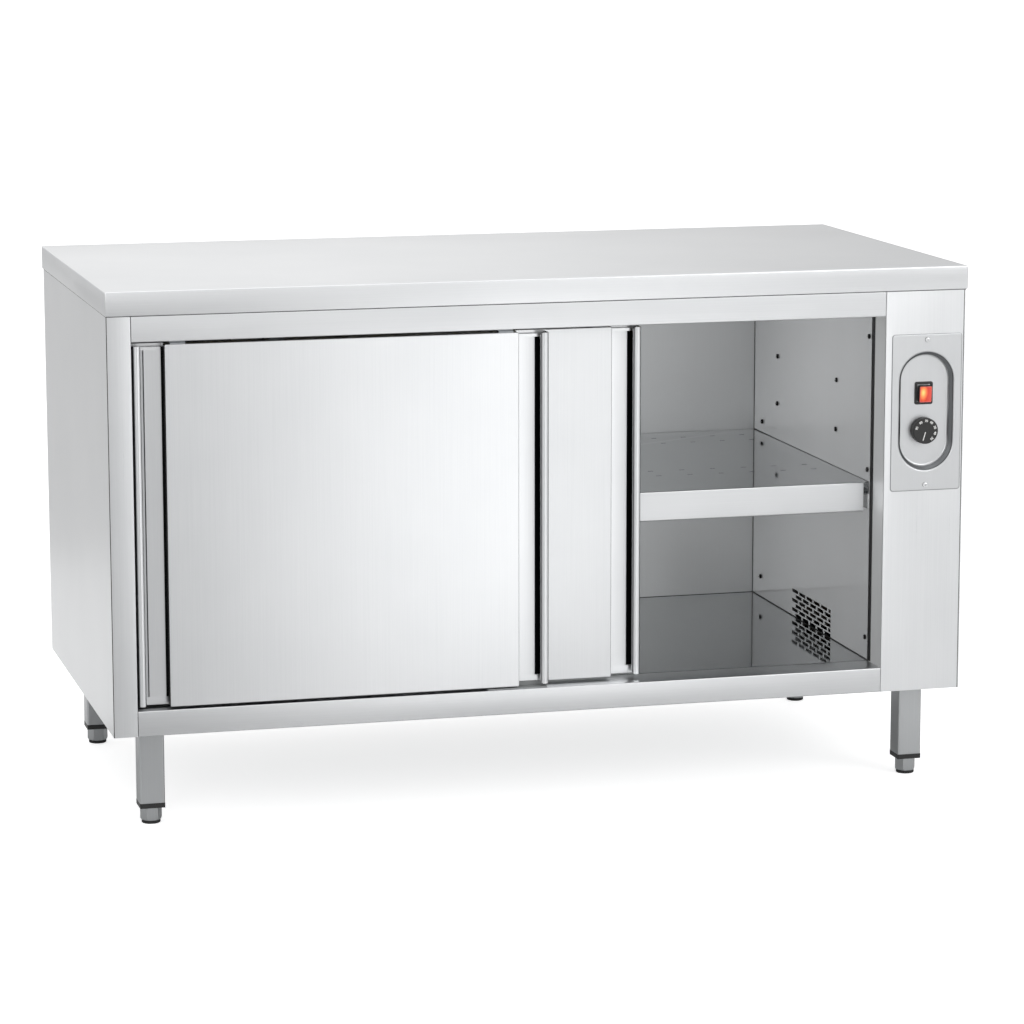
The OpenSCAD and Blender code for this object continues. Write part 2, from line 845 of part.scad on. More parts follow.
module door_grip(x0, face_y, s) {
    t = door_sheet;
    z0 = door_z + lip_end;
    z1 = door_z + door_h - lip_end;
    y1 = face_y + door_t - t;
    color(steel) translate([s < 0 ? x0 : x0 + door_w, 0, 0]) mirror([s < 0 ? 0 : 1, 0, 0]) {
        intersection() {
            translate([0, face_y, z0]) linear_extrude(z1 - z0) grip_plan();
            // Rounds the two corners of the lip that face the door's middle
            front_view(face_y - 1, y1 + 1)
                translate([lip_r - lip_corner / 2, (z0 + z1) / 2])
                    round_rect(2 * lip_r + lip_corner, z1 - z0, lip_corner);
        }
        // Strip, with a pocket under the lip that gives the fingers room
        difference() {
            union() {
                block([t, face_y + grip_depth, door_z + strip_end],
                      [grip_w, face_y + strip_back, door_z + door_h - strip_end]);
                block([t, face_y + grip_depth, door_z + pocket_end - t],
                      [pocket_w + t, y1, door_z + door_h - pocket_end + t]);
            }
            block([t, face_y + grip_depth - 1, door_z + pocket_end],
                  [pocket_w, y1 - t, door_z + door_h - pocket_end]);
        }
    }
}

// Two angles on the door's top edge, each with a pin for its roller
module door_hangers(x0, face_y) {
    z0 = door_z + door_h;
    y0 = face_y + hanger_y;
    z1 = axle_z + roller_r - 2;
    color(inner_steel) for (x = [x0 + hanger_inset, x0 + door_w - hanger_inset]) {
        block([x - hanger_w / 2, face_y + 2, z0], [x + hanger_w / 2, y0 + hanger_t, z0 + 2]);
        front_view(y0, y0 + hanger_t) {
            translate([x - hanger_w / 2, z0]) square([hanger_w, z1 - z0 - hanger_w / 4]);
            translate([x, z1 - hanger_w / 4]) round_rect(hanger_w, hanger_w / 2, hanger_w / 4 - 0.1);
        }
        rod_y(x, axle_z, pin_d, y0, face_y + roller_y + roller_w + free_gap + 1);
        rod_y(x, axle_z, pin_d + 3, face_y + roller_y + roller_w + free_gap,
              face_y + roller_y + roller_w + free_gap + 1);
    }
}

// Nylon roller with a round groove that straddles the bead
module roller(x, face_y) {
    groove_r = bead_r + free_gap;
    color(nylon) translate([x, face_y + bead_y, axle_z]) rotate([90, 0, 0])
        rotate_extrude($fn = 96) difference() {
            union() {
                translate([pin_d / 2 + run_clear, -roller_w / 2])
                    square([roller_r - 0.6 - pin_d / 2 - run_clear, roller_w]);
                translate([pin_d / 2 + run_clear, -roller_w / 2 + 0.6])
                    square([roller_r - pin_d / 2 - run_clear, roller_w - 1.2]);
            }
            translate([run_r + groove_r, 0]) circle(groove_r, $fn = 32);
        }
}

module front_door_face() {
    door_face(front_door_x, front_door_y);
}

module front_door_back() {
    door_back(front_door_x, front_door_y);
}

module front_door_grip_left() {
    door_grip(front_door_x, front_door_y, -1);
}

module front_door_grip_right() {
    door_grip(front_door_x, front_door_y, 1);
}

module front_door_hangers() {
    door_hangers(front_door_x, front_door_y);
}

module rear_door_face() {
    door_face(rear_door_x, rear_door_y);
}

module rear_door_back() {
    door_back(rear_door_x, rear_door_y);
}

module rear_door_grip_left() {
    door_grip(rear_door_x, rear_door_y, -1);
}

module rear_door_grip_right() {
    door_grip(rear_door_x, rear_door_y, 1);
}

module rear_door_hangers() {
    door_hangers(rear_door_x, rear_door_y);
}

module front_roller_left() {
    roller(front_door_x + hanger_inset, front_door_y);
}

module front_roller_right() {
    roller(front_door_x + door_w - hanger_inset, front_door_y);
}

module rear_roller_left() {
    roller(rear_door_x + hanger_inset, rear_door_y);
}

module rear_roller_right() {
    roller(rear_door_x + door_w - hanger_inset, rear_door_y);
}

// Control panel

// Stadium standing on end, middle at the origin
module stadium(r, h) {
    square([2 * r, h - 2 * r], center = true);
    for (s = [-1, 1])
        translate([0, s * (h / 2 - r)]) circle(r, $fn = 96);
}

// Half section of the recess: x is the distance from its middle line, y is the depth, downward
module recess_section() {
    r = recess_w / 2;
    d = recess_draft;
    t = sheet;
    c1 = [r + rim_bend, -rim_bend];
    run = (recess_d - floor_bend - rim_bend + (floor_bend + rim_bend) * sin(d)) / cos(d);
    flat_r = c1[0] - (rim_bend + floor_bend) * cos(d) - run * sin(d);
    c2 = [flat_r, -recess_d + floor_bend];
    front = concat(arc(c1, rim_bend, 90, 180 + d, 6), arc(c2, floor_bend, d, -90, 6));
    back = concat(arc(c1, rim_bend - t, 90, 180 + d, 6), arc(c2, floor_bend + t, d, -90, 6));
    polygon(concat(front, [[0, -recess_d], [0, -recess_d - t]], reverse(back)));
}

// Pressed plate with its deep recess, facing forward
module control_plate() {
    reach = recess_w / 2 + rim_bend;
    half = recess_h / 2 - recess_w / 2;
    color(steel) difference() {
        translate([panel_x, plate_y, panel_z]) rotate([90, 0, 0]) {
            translate([0, 0, -sheet]) linear_extrude(sheet) difference() {
                round_rect(plate_w, plate_h, 2);
                translate([0, recess_up]) stadium(reach - 0.001, 2 * (half + reach - 0.001));
            }
            translate([0, recess_up, 0]) for (s = [0, 180]) {
                rotate(s) translate([0, half, 0]) rotate_extrude(angle = 180, $fn = 96) recess_section();
                rotate(s) translate([0, half, 0]) rotate([90, 0, 0])
                    linear_extrude(2 * half) recess_section();
            }
        }
        for (s = [-1, 1])
            rod_y(panel_x, panel_z + s * plate_screw_span / 2, screw_d, plate_y - 1, plate_y + 3);
        rod_y(panel_x, knob_z, bushing_d, floor_y - 1, floor_y + 3);
        front_view(floor_y - 1, floor_y + 3)
            translate([panel_x, switch_z]) square([bezel_w - 4, bezel_h - 4], center = true);
    }
}

// Pan head screw, shank toward -Z
module screw(shank_l) {
    cylinder(h = screw_head_h - 0.6, d = screw_head_d, $fn = 32);
    translate([0, 0, screw_head_h - 0.6]) cylinder(h = 0.6, d = screw_head_d - 1.2, $fn = 32);
    translate([0, 0, -shank_l]) cylinder(h = shank_l, d = screw_d, $fn = 32);
}

module panel_screws() {
    plate_screw_l = 8;
    wall_screw_l = 7;
    color(steel) {
        for (s = [-1, 1])
            translate([panel_x, plate_y, panel_z + s * plate_screw_span / 2])
                rotate([90, 0, 0]) screw(plate_screw_l);
        for (p = wall_screws())
            translate([open_r, p[0], p[1]]) rotate([0, -90, 0]) screw(wall_screw_l);
    }
}

module switch_body() {
    y0 = floor_y - bezel_t;
    body_d = 24;
    blade_x = 8;
    blade_w = 6.3;
    blade_t = 0.8;
    color(dark_plastic) difference() {
        union() {
            front_view(y0, floor_y)
                translate([panel_x, switch_z]) round_rect(bezel_w, bezel_h, 2);
            front_view(floor_y, floor_y + body_d)
                translate([panel_x, switch_z]) square([bezel_w - 4, bezel_h - 4], center = true);
            for (x = [-blade_x, blade_x])
                block([panel_x + x - blade_w / 2, floor_y + body_d, switch_z - blade_t],
                      [panel_x + x + blade_w / 2, floor_y + body_d + 8, switch_z]);
        }
        // Well that the rocker's neck swings in
        rod_x(floor_y - bezel_t + rocker_pivot, switch_z, 2 * (rocker_neck_r + slot_clear),
              panel_x - rocker_neck_w / 2 - slot_clear, panel_x + rocker_neck_w / 2 + slot_clear);
    }
}

// Rocker in its middle place, pivot at the origin, cap toward -Y
module rocker_shape() {
    cap_back = -rocker_pivot - rocker_h / 2 * sin(rocker_tilt) - 0.5;
    side_view(-rocker_neck_w / 2, rocker_neck_w / 2) intersection() {
        circle(rocker_neck_r, $fn = 64);
        translate([cap_back - 1, -rocker_neck_r]) square([-cap_back + 4, 2 * rocker_neck_r]);
    }
    translate([0, cap_back, 0]) rotate([90, 0, 0]) {
        linear_extrude(rocker_out - 1) round_rect(rocker_w, rocker_h, 3);
        translate([0, 0, rocker_out - 1]) linear_extrude(1) round_rect(rocker_w - 1.6, rocker_h - 1.6, 2.2);
    }
}

module switch_rocker() {
    color("red") translate([panel_x, floor_y - bezel_t + rocker_pivot, switch_z])
        rotate([rocker_tilt, 0, 0]) rocker_shape();
}

module control_knob() {
    y1 = floor_y - knob_gap;
    round_r = 1.5;
    color(dark_plastic) translate([panel_x, y1, knob_z]) rotate([90, 0, 0]) difference() {
        rotate_extrude($fn = 96) {
            square([knob_d / 2, knob_h - round_r]);
            square([knob_d / 2 - round_r, knob_h]);
            translate([knob_d / 2 - round_r, knob_h - round_r]) circle(round_r, $fn = 32);
        }
        translate([0, 0, -1]) cylinder(h = 10, d = spindle_d, $fn = 48);
        difference() {
            translate([0, 0, -1]) cylinder(h = 4, d = knob_d - 5, $fn = 96);
            translate([0, 0, -2]) cylinder(h = 6, d = bushing_d + 6, $fn = 48);
        }
        translate([0, 0, -1]) cylinder(h = bushing_l - sheet + 1, d = bushing_d + 1, $fn = 48);
    }
}

module knob_spindle() {
    color("gray") rod_y(panel_x, knob_z, spindle_d, floor_y - knob_gap - 9, floor_y + 10, 48);
}

// Thermostat with its bushing, capillary and sensing bulb
module thermostat() {
    y0 = floor_y + sheet;
    bulb_x = open_r + liner_sheet + 8;
    bulb_y = post_front_y + post_w / 2 + 14;
    bulb_d = 6;
    bulb_l = 72;
    bulb_drop = 215;
    bulb_top = knob_z - bulb_drop;
    tube_d = 2;
    tube_x = panel_x - 10;
    tube_y = y0 + stat_d + 14;
    tube_z = knob_z - stat_h / 2 + 4;
    route = [
        [tube_x, y0 + stat_d - 2, tube_z],
        [tube_x, tube_y, tube_z],
        [tube_x, tube_y, bulb_top + 65],
        [bulb_x, bulb_y, bulb_top + 25],
        [bulb_x, bulb_y, bulb_top]];
    color("gray") {
        difference() {
            union() {
                front_view(y0, y0 + stat_d)
                    translate([panel_x, knob_z]) round_rect(stat_w, stat_h, 3);
                rod_y(panel_x, knob_z, bushing_d, y0 - bushing_l, y0 + 1, 48);
            }
            rod_y(panel_x, knob_z, spindle_d + 2 * run_clear, y0 - bushing_l - 1, y0 + 12, 48);
        }
        for (k = [0:len(route) - 2])
            tube_run(route[k], route[k + 1], tube_d);
        translate([bulb_x, bulb_y, bulb_top - bulb_l]) cylinder(h = bulb_l, d = bulb_d, $fn = 32);
        // Clip that holds the bulb against the wall
        block([open_r + liner_sheet, bulb_y - bulb_d, bulb_top - 47],
              [bulb_x, bulb_y + bulb_d, bulb_top - 43]);
    }
}

// Straight tube from a to b, with a bead at its far end
module tube_run(a, b, d) {
    v = b - a;
    l = norm(v);
    translate(a) rotate([0, acos(v[2] / l), atan2(v[1], v[0])]) cylinder(h = l, d = d, $fn = 24);
    translate(b) sphere(d = d + 0.6, $fn = 24);
}

// Wiring and cable entry

module terminal_block() {
    w = 22;
    l = 62;
    h = 18;
    x0 = open_r + 22;
    y0 = gland_y - l / 2;
    color("ivory") difference() {
        union() {
            block([x0 - 4, y0 - 4, bottom_top], [x0 + w + 4, y0 + l + 4, bottom_top + 3]);
            block([x0, y0, bottom_top + 3], [x0 + w, y0 + l, bottom_top + h]);
        }
        for (k = [0:4]) {
            y = y0 + (k + 0.5) * l / 5;
            for (x = [x0 + 5, x0 + w - 5])
                translate([x, y, bottom_top + h - 8]) cylinder(h = 10, d = 5, $fn = 24);
            rod_x(y, bottom_top + 7, 5, x0 - 1, x0 + w + 1);
        }
    }
}

module cable_gland() {
    hex = 24;
    nut_h = 5;
    below = 20;
    color(dark_plastic) translate([gland_x, gland_y, bottom_z]) difference() {
        union() {
            translate([0, 0, -5]) cylinder(h = 5, d = hex / cos(30), $fn = 6);
            translate([0, 0, -below]) cylinder(h = below, d = gland_thread_d + 3, $fn = 48);
            translate([0, 0, -below + 2]) cylinder(h = 9, d = hex / cos(30), $fn = 6);
            cylinder(h = sheet + nut_h + 3, d = gland_thread_d, $fn = 48);
            translate([0, 0, sheet]) cylinder(h = nut_h, d = hex / cos(30), $fn = 6);
        }
        translate([0, 0, -below - 1]) cylinder(h = below + nut_h + 12, d = gland_bore_d, $fn = 48);
    }
}

// Fan and heater

// Scroll of the fan as seen from the front: a spiral wall, an outlet wall and the tongue
module scroll_section() {
    t = 1;
    a0 = 110;
    n = 16;
    radius = function (a) scroll_r0 + (scroll_r1 - scroll_r0) * (a0 - a) / a0;
    spiral = [for (i = [0:n]) let (a = a0 - a0 * i / n) radius(a) * [cos(a), sin(a)]];
    outer = [for (i = [0:n]) let (a = a0 - a0 * i / n) (radius(a) + t) * [cos(a), sin(a)]];
    drop = fan_z - outlet_z;
    polygon(concat(spiral, [[scroll_r1, -drop], [scroll_r1 + t, -drop]], reverse(outer)));
    tongue_x = -rotor_d / 2 - 4;
    translate([tongue_x - t, -drop]) square([t, drop - 8]);
    translate([tongue_x - t / 2, -8]) circle(2, $fn = 24);
}

module fan_end() {
    drop = fan_z - outlet_z;
    translate([-scroll_r0 - 1, -drop]) square([scroll_r0 + scroll_r1 + 2, drop - 5]);
    circle(scroll_r1 + 2, $fn = 96);
}

module fan_housing() {
    x0 = open_r + liner_sheet;
    za = fan_z - fan_flange_h;
    zb = fan_z + fan_flange_h;
    ya = rotor_y0 - end_gap;
    yb = rotor_y1 + end_gap;
    color(steel) difference() {
        union() {
            front_view(ya, yb) translate([fan_x, fan_z]) scroll_section();
            for (y = [ya - end_plate, yb])
                front_view(y, y + end_plate) translate([fan_x, fan_z]) fan_end();
            for (e = [[fan_y0, ya], [fan_y1, yb]]) {
                y_in = e[0] < e[1] ? e[1] - end_plate : e[1];
                lo = min(e[0] - 12, y_in);
                hi = max(e[0] + 12, y_in + end_plate);
                block([x0, lo, za], [x0 + 1.5, hi, zb]);
                block([x0, y_in, za], [fan_x - scroll_r0 + 2, y_in + end_plate, zb]);
            }
        }
        for (y = [ya - end_plate, yb])
            rod_y(fan_x, fan_z, shaft_d + 2 * run_clear, y - 1, y + end_plate + 1, 48);
        for (p = fan_screws())
            rod_x(p[0], p[1], screw_d, x0 - 1, x0 + 3);
    }
}

module blade() {
    r_in = rotor_d / 2 - 9;
    r_out = rotor_d / 2 - 0.5;
    chord = r_out - r_in;
    mid = [(r_in + r_out) / 2, -chord * 0.55];
    bend_r = norm([r_out, 0] - mid);
    a = asin(chord / 2 / bend_r);
    polygon(concat(arc(mid, bend_r, 90 + a, 90 - a, 4), arc(mid, bend_r - 0.9, 90 - a, 90 + a, 4)));
}

module fan_impeller() {
    y0 = rotor_y0;
    y1 = rotor_y1;
    disc = 1.5;
    shaft_out = 42;
    color(steel) {
        front_view(y0, y1) translate([fan_x, fan_z])
            for (k = [0:blade_count - 1])
                rotate(360 * k / blade_count) blade();
        for (y = [y0, (y0 + y1) / 2, y1 - disc])
            rod_y(fan_x, fan_z, rotor_d, y, y + disc, 96);
        rod_y(fan_x, fan_z, shaft_d, y0 - end_gap - end_plate - 3, y1 + shaft_out, 48);
    }
}

// Shaded-pole motor on the fan's end plate: iron frame, coil and two bearing bridges
module fan_motor() {
    y0 = rotor_y1 + end_gap + end_plate;
    core_w = 48;
    core_h = 60;
    core_l = 22;
    core_y = y0 + 9;
    bridge_h = 22;
    bridge_y = core_y + core_l + 4;
    coil_h = 12;
    gap_r = 13;
    color("dimgray") difference() {
        union() {
            front_view(core_y, core_y + core_l) translate([fan_x, fan_z]) difference() {
                square([core_w, core_h], center = true);
                circle(gap_r, $fn = 48);
            }
            front_view(core_y - 6, core_y + core_l + 6)
                translate([fan_x - gap_r, fan_z - gap_r - 4 - coil_h]) square([2 * gap_r, coil_h]);
            for (y = [y0, bridge_y])
                front_view(y, y + 2) translate([fan_x, fan_z]) square([core_w, bridge_h], center = true);
            for (sx = [-1, 1])
                rod_y(fan_x + sx * (core_w / 2 - 4), fan_z, 5, y0, bridge_y + 2);
        }
        rod_y(fan_x, fan_z, shaft_d + 2 * run_clear, y0 - 1, bridge_y + 3, 48);
    }
}

// Duct that leads the air down from the fan, over the heater and out through the grille
module air_duct() {
    t = 1;
    x0 = open_r + liner_sheet;
    z_top = outlet_z;
    z_low = bottom_top + 4;
    ya = rotor_y0 - end_gap;
    yb = rotor_y1 + end_gap;
    r = duct_bend;
    bend = arc([duct_x - r, z_low + r], r, 0, -90, 8);
    inner = arc([duct_x - r, z_low + r], r - t, 0, -90, 8);
    color(steel) difference() {
        union() {
            front_view(ya, yb) {
                polygon(concat([[duct_x, z_top]], bend, [[x0, z_low], [x0, z_low + t]],
                    reverse(inner), [[duct_x - t, z_top]]));
            }
            for (y = [ya - t, yb])
                front_view(y, y + t)
                    polygon(concat([[duct_x, z_top]], bend, [[x0, z_low], [x0, z_top]]));
        }
        for (z = [heater_z, heater_z + heater_rise])
            rod_y(heater_x, z, heater_d + 0.6, yb - 1, yb + t + 1);
    }
}

// Finned tube bent into a hairpin; both ends come out through the duct's end plate
module heating_element() {
    ends = rotor_y1 + end_gap + 22;
    fins = floor((heater_y1 - heater_y0) / heater_fin_pitch);
    r = heater_rise / 2;
    color("gray") {
        for (z = [heater_z, heater_z + heater_rise]) {
            rod_y(heater_x, z, heater_d, heater_y0, ends);
            rod_y(heater_x, z, 3, ends, ends + 8, 24);
            for (k = [0:fins])
                rod_y(heater_x, z, heater_fin_d, heater_y0 + k * heater_fin_pitch,
                      heater_y0 + k * heater_fin_pitch + 0.8);
        }
        translate([heater_x, heater_y0, heater_z + r]) rotate([90, 90, -90])
            rotate_extrude(angle = 180, $fn = 64) translate([r, 0]) circle(d = heater_d, $fn = 32);
    }
}

// Legs and feet

module legs() {
    h = leg_side / 2;
    w = leg_plate_w / 2;
    z1 = bottom_z - leg_plate_t;
    color(steel) for (s = leg_signs) translate([s[0] * leg_x, s[1] * leg_y, 0]) {
        difference() {
            block([-h, -h, leg_end_z], [h, h, z1]);
            block([-h + leg_wall, -h + leg_wall, leg_end_z - 1], [h - leg_wall, h - leg_wall, z1 + 1]);
        }
        block([-w, -w, z1], [w, w, bottom_z]);
    }
}

// Black plastic plug pushed into each leg, bored for the foot's spindle
module leg_inserts() {
    h = leg_side / 2;
    p = h - leg_wall;
    color(dark_plastic) for (s = leg_signs) translate([s[0] * leg_x, s[1] * leg_y, 0]) difference() {
        union() {
            translate([0, 0, insert_z]) linear_extrude(leg_end_z - insert_z)
                round_rect(leg_side, leg_side, 1.5);
            block([-p, -p, leg_end_z], [p, p, leg_end_z + plug_h]);
        }
        translate([0, 0, insert_z - 1])
            cylinder(h = plug_h + 20, d = foot_spindle_d + 2 * run_clear, $fn = 48);
    }
}

module foot(k) {
    s = leg_signs[k];
    r = hex_af / 2 / cos(30);
    color("silver") translate([s[0] * leg_x, s[1] * leg_y, 0]) {
        intersection() {
            translate([0, 0, sole_h]) cylinder(h = hex_h, r = r, $fn = 6);
            translate([0, 0, sole_h - 1]) rotate_extrude($fn = 96)
                polygon([[0, 0], [r - 1.5, 0], [r - 1.5, 1], [r + 0.2, 4], [r + 0.2, hex_h - 1.5],
                    [r - 1.2, hex_h + 1], [0, hex_h + 1]]);
        }
        translate([0, 0, sole_h + hex_h - 1]) cylinder(h = spindle_h, d = foot_spindle_d, $fn = 48);
    }
}

module sole(k) {
    s = leg_signs[k];
    r = hex_af / 2;
    color(dark_plastic) translate([s[0] * leg_x, s[1] * leg_y, 0]) rotate_extrude($fn = 96)
        polygon([[0, 0], [r - 1, 0], [r, 1], [r, sole_h - 1.5], [r - 1.5, sole_h], [0, sole_h]]);
}

module foot_front_left() {
    foot(0);
}

module foot_front_right() {
    foot(1);
}

module foot_back_left() {
    foot(2);
}

module foot_back_right() {
    foot(3);
}

module sole_front_left() {
    sole(0);
}

module sole_front_right() {
    sole(1);
}

module sole_back_left() {
    sole(2);
}

module sole_back_right() {
    sole(3);
}

worktop();
worktop_stiffeners();
side_panel_left();
side_panel_right();
back_panel();
bottom_panel();
left_stile();
top_rail();
bottom_rail();
control_column();
liner_left();
liner_right();
liner_back();
liner_floor();
liner_ceiling();
insulation();
inner_posts();
shelf();
shelf_supports();
door_track();
bottom_guide();
panel_screws();
legs();
leg_inserts();
control_plate();
switch_body();
thermostat();
terminal_block();
cable_gland();
fan_housing();
fan_motor();
air_duct();
heating_element();
front_door_face();
front_door_back();
front_door_grip_left();
front_door_grip_right();
front_door_hangers();
rear_door_face();
rear_door_back();
rear_door_grip_left();
rear_door_grip_right();
rear_door_hangers();
front_roller_left();
front_roller_right();
rear_roller_left();
rear_roller_right();
foot_front_left();
foot_front_right();
foot_back_left();
foot_back_right();
sole_front_left();
sole_front_right();
sole_back_left();
sole_back_right();
switch_rocker();
control_knob();
knob_spindle();
fan_impeller();
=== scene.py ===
# %% [markdown]
# # A heated plate warmer cabinet in stainless steel
# The imported CAD model is the frame: every solid is already in its place. This lesson dresses it. Folded
# sheets get real bends, the rolled grips of the doors get their curl, the control panel gets its print and
# its lit rocker, and each metal and plastic gets a procedural material. The frame is in metres, and pieces
# are drawn in millimetres times MM.

# %% Load the frame
import json
import math
import bpy
import bmesh
from mathutils import Matrix, Vector


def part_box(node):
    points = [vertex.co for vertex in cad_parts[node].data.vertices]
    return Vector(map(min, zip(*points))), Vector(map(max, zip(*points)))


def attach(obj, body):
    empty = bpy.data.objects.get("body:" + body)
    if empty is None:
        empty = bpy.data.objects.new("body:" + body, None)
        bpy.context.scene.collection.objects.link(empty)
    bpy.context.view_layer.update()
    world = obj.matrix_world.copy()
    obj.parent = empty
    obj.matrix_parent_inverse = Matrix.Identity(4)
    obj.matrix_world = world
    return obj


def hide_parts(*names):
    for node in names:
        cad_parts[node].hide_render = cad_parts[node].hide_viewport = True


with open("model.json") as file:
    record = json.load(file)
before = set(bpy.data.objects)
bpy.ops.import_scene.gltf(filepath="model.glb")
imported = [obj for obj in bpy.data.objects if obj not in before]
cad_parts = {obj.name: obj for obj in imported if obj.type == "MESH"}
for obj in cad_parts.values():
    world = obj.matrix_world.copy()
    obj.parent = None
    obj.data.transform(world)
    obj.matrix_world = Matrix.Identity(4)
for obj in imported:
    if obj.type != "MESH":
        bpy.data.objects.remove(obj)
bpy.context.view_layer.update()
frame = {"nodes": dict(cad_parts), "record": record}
MM = 0.001

# %% [markdown]
# ## Small tools for materials
# Colours are written the way a picture editor shows them and are turned into light values by
# one function. A second function adds a node, sets its options and plugs its inputs, so that a
# material reads from top to bottom like a recipe. Numbers that are the same all over a surface
# go straight onto the shader's own sockets.

# %% Colours and nodes
def linear(hex_code):
    parts = [int(hex_code[i:i + 2], 16) / 255 for i in (1, 3, 5)]
    return tuple(c / 12.92 if c <= 0.04045 else ((c + 0.055) / 1.055) ** 2.4 for c in parts) + (1,)


def add(mat, kind, plugs=None, **options):
    made = mat.node_tree.nodes.new("ShaderNode" + kind)
    for key, value in options.items():
        setattr(made, key, value)
    for key, value in (plugs or {}).items():
        if isinstance(value, bpy.types.NodeSocket):
            mat.node_tree.links.new(value, made.inputs[key])
        else:
            made.inputs[key].default_value = value
    return made


def blank(name, **sockets):
    mat = bpy.data.materials.new(name)
    mat.use_nodes = True
    shader = mat.node_tree.nodes["Principled BSDF"]
    for key, value in sockets.items():
        shader.inputs[key.replace("_", " ").title()].default_value = value
    return mat, shader


def plug(mat, shader, **sources):
    for key, socket in sources.items():
        mat.node_tree.links.new(socket, shader.inputs[key.replace("_", " ").title()])


def between(mat, low, high, source):
    ramp = add(mat, "MapRange", {"Value": source, "To Min": low, "To Max": high})
    return ramp.outputs["Result"]


def tint(mat, dark, light, source):
    mix = add(mat, "Mix", {"Factor": source, 6: linear(dark), 7: linear(light)}, data_type="RGBA")
    return mix.outputs[2]


print("half grey in light values:", round(linear("#808080")[0], 3))

# %% [markdown]
# ## Brushed stainless steel
# The sheets are ground with a belt, which leaves fine scratches along one direction. The scratches
# are noise stretched nearly two hundred times along the grain. They change the roughness and the
# height a little, so a reflection smears across the grain, and a much larger, weak noise adds the
# uneven tone that a handled sheet has. Real scratches lie about 0.1 mm apart. From six metres that
# is too fine to show, so they are drawn 1.1 mm apart and 200 mm long.

# %% Brushed steel
SCRATCH_APART, SCRATCH_LONG, SCRATCH_DEEP, CLOUD_WIDE = 10 / 9, 200.0, 0.05, 2000 / 9


def brushed(name, dark, light, rough, grain, anisotropy=0.5, metallic=1.0, bump=0.05, spread=0.05):
    mat, shader = blank(name, metallic=metallic, roughness=rough, anisotropic=anisotropy)
    place = add(mat, "TexCoord").outputs["Object"]
    scale = [1 / (MM * (SCRATCH_LONG if axis == grain else SCRATCH_APART)) for axis in "XYZ"]
    fine = add(mat, "Mapping", {"Vector": place, "Scale": scale})
    scratch = add(mat, "TexNoise", {"Vector": fine.outputs[0], "Scale": 1.0, "Detail": 3.0,
                                    "Roughness": 0.65}).outputs[0]
    cloud = add(mat, "TexNoise", {"Vector": place, "Scale": 1 / (CLOUD_WIDE * MM), "Detail": 2.0})
    both = add(mat, "Math", {0: scratch, 1: cloud.outputs[0]}, operation="ADD")
    half = add(mat, "Math", {0: both.outputs[0], 1: 0.5}, operation="MULTIPLY")
    height = add(mat, "Bump", {"Height": scratch, "Strength": bump, "Distance": SCRATCH_DEEP * MM})
    way = [1.0 if axis == grain else 0.0 for axis in "XYZ"]
    tangent = add(mat, "CombineXYZ", dict(zip("XYZ", way)))
    plug(mat, shader, base_color=tint(mat, dark, light, half.outputs[0]),
         roughness=between(mat, rough - spread, rough + spread, scratch),
         normal=height.outputs[0], tangent=tangent.outputs[0])
    return mat


print("scratches per metre:", round(1 / (SCRATCH_APART * MM)))

# %% [markdown]
# ## The sheets outside
# Worktop, panels, rails and doors are brushed along their length, and a light shows on them as a soft streak
# across the grain. The rails and the rear door lie in the worktop's and the front door's shade and take a
# deeper tone. Legs and plate are duller. The jamb gets a matt finish of its own. The plate's rolled edge,
# the recess wall and the outer flank of a grip's lip are painted darker, a painted shade where they turn
# away from the light, so that the fold can be read, and folds in hollows are painted near black, a painted
# shade.

# %% Outside steels
worktop_steel = brushed("brushed_stainless_worktop", "#CDCFD1", "#E4E5E6", 0.30, "X")
panel_steel = brushed("brushed_stainless_panel", "#CBCDCF", "#E2E3E4", 0.30, "Z")
rail_steel = brushed("brushed_stainless_rail", "#C6C8CA", "#DDDEDF", 0.30, "X")
foot_rail_steel = brushed("brushed_stainless_foot_rail", "#C5C7C9", "#DBDCDD", 0.30, "X")
door_steel = brushed("brushed_stainless_door", "#CDCFD1", "#E4E5E6", 0.32, "Z")
rear_door_steel = brushed("brushed_stainless_rear_door", "#C0C2C4", "#D7D8D9", 0.32, "Z")
jamb_steel = brushed("matt_stainless_jamb", "#D2D3D4", "#DCDDDD", 0.35, "Z", 0.2, 0.5)
leg_steel = brushed("brushed_stainless_leg", "#A4A6A8", "#BCBEBF", 0.34, "Z", 0.3)
plate_steel = brushed("brushed_stainless_plate", "#BCBEC0", "#CBCCCD", 0.36, "Z", 0.2)
# painted shade: darker copies of the steel for the rolled plate edge, the lip flanks and the recess wall,
# which turn away from the light
plate_edge_shade = brushed("painted_shade_plate_edge", "#8E9092", "#9C9EA0", 0.40, "Z", 0.2)
lip_flank_shade = brushed("painted_shade_lip_flank", "#4E5052", "#5C5E60", 0.35, "Z", 0.2)
recess_wall_shade = brushed("painted_shade_recess_wall", "#66686A", "#77797B", 0.30, "Z", 0.2)
# painted shade: near black, for folds and hollows that lie in shade
fold_shade_black = brushed("painted_shade_black_fold", "#101011", "#1C1D1E", 0.55, "Z", 0.1)
print("outside steels made")

# %% [markdown]
# ## The sheets inside
# The lining is cold rolled and not brushed, so it mirrors more. Floor and shelf show the walls that stand on
# them, the heater wall keeps only a soft image, and the back wall is matt: to the eye it is one even grey.
# The heater wall is painted lighter than the rest of the lining, a painted light that lifts it. The shelf's
# front edge is brushed as the doors are.

# %% Lining steels
inner_steel = brushed("rolled_stainless_lining", "#C3C5C6", "#CFD0D1", 0.20, "Z", 0.2, 0.85)
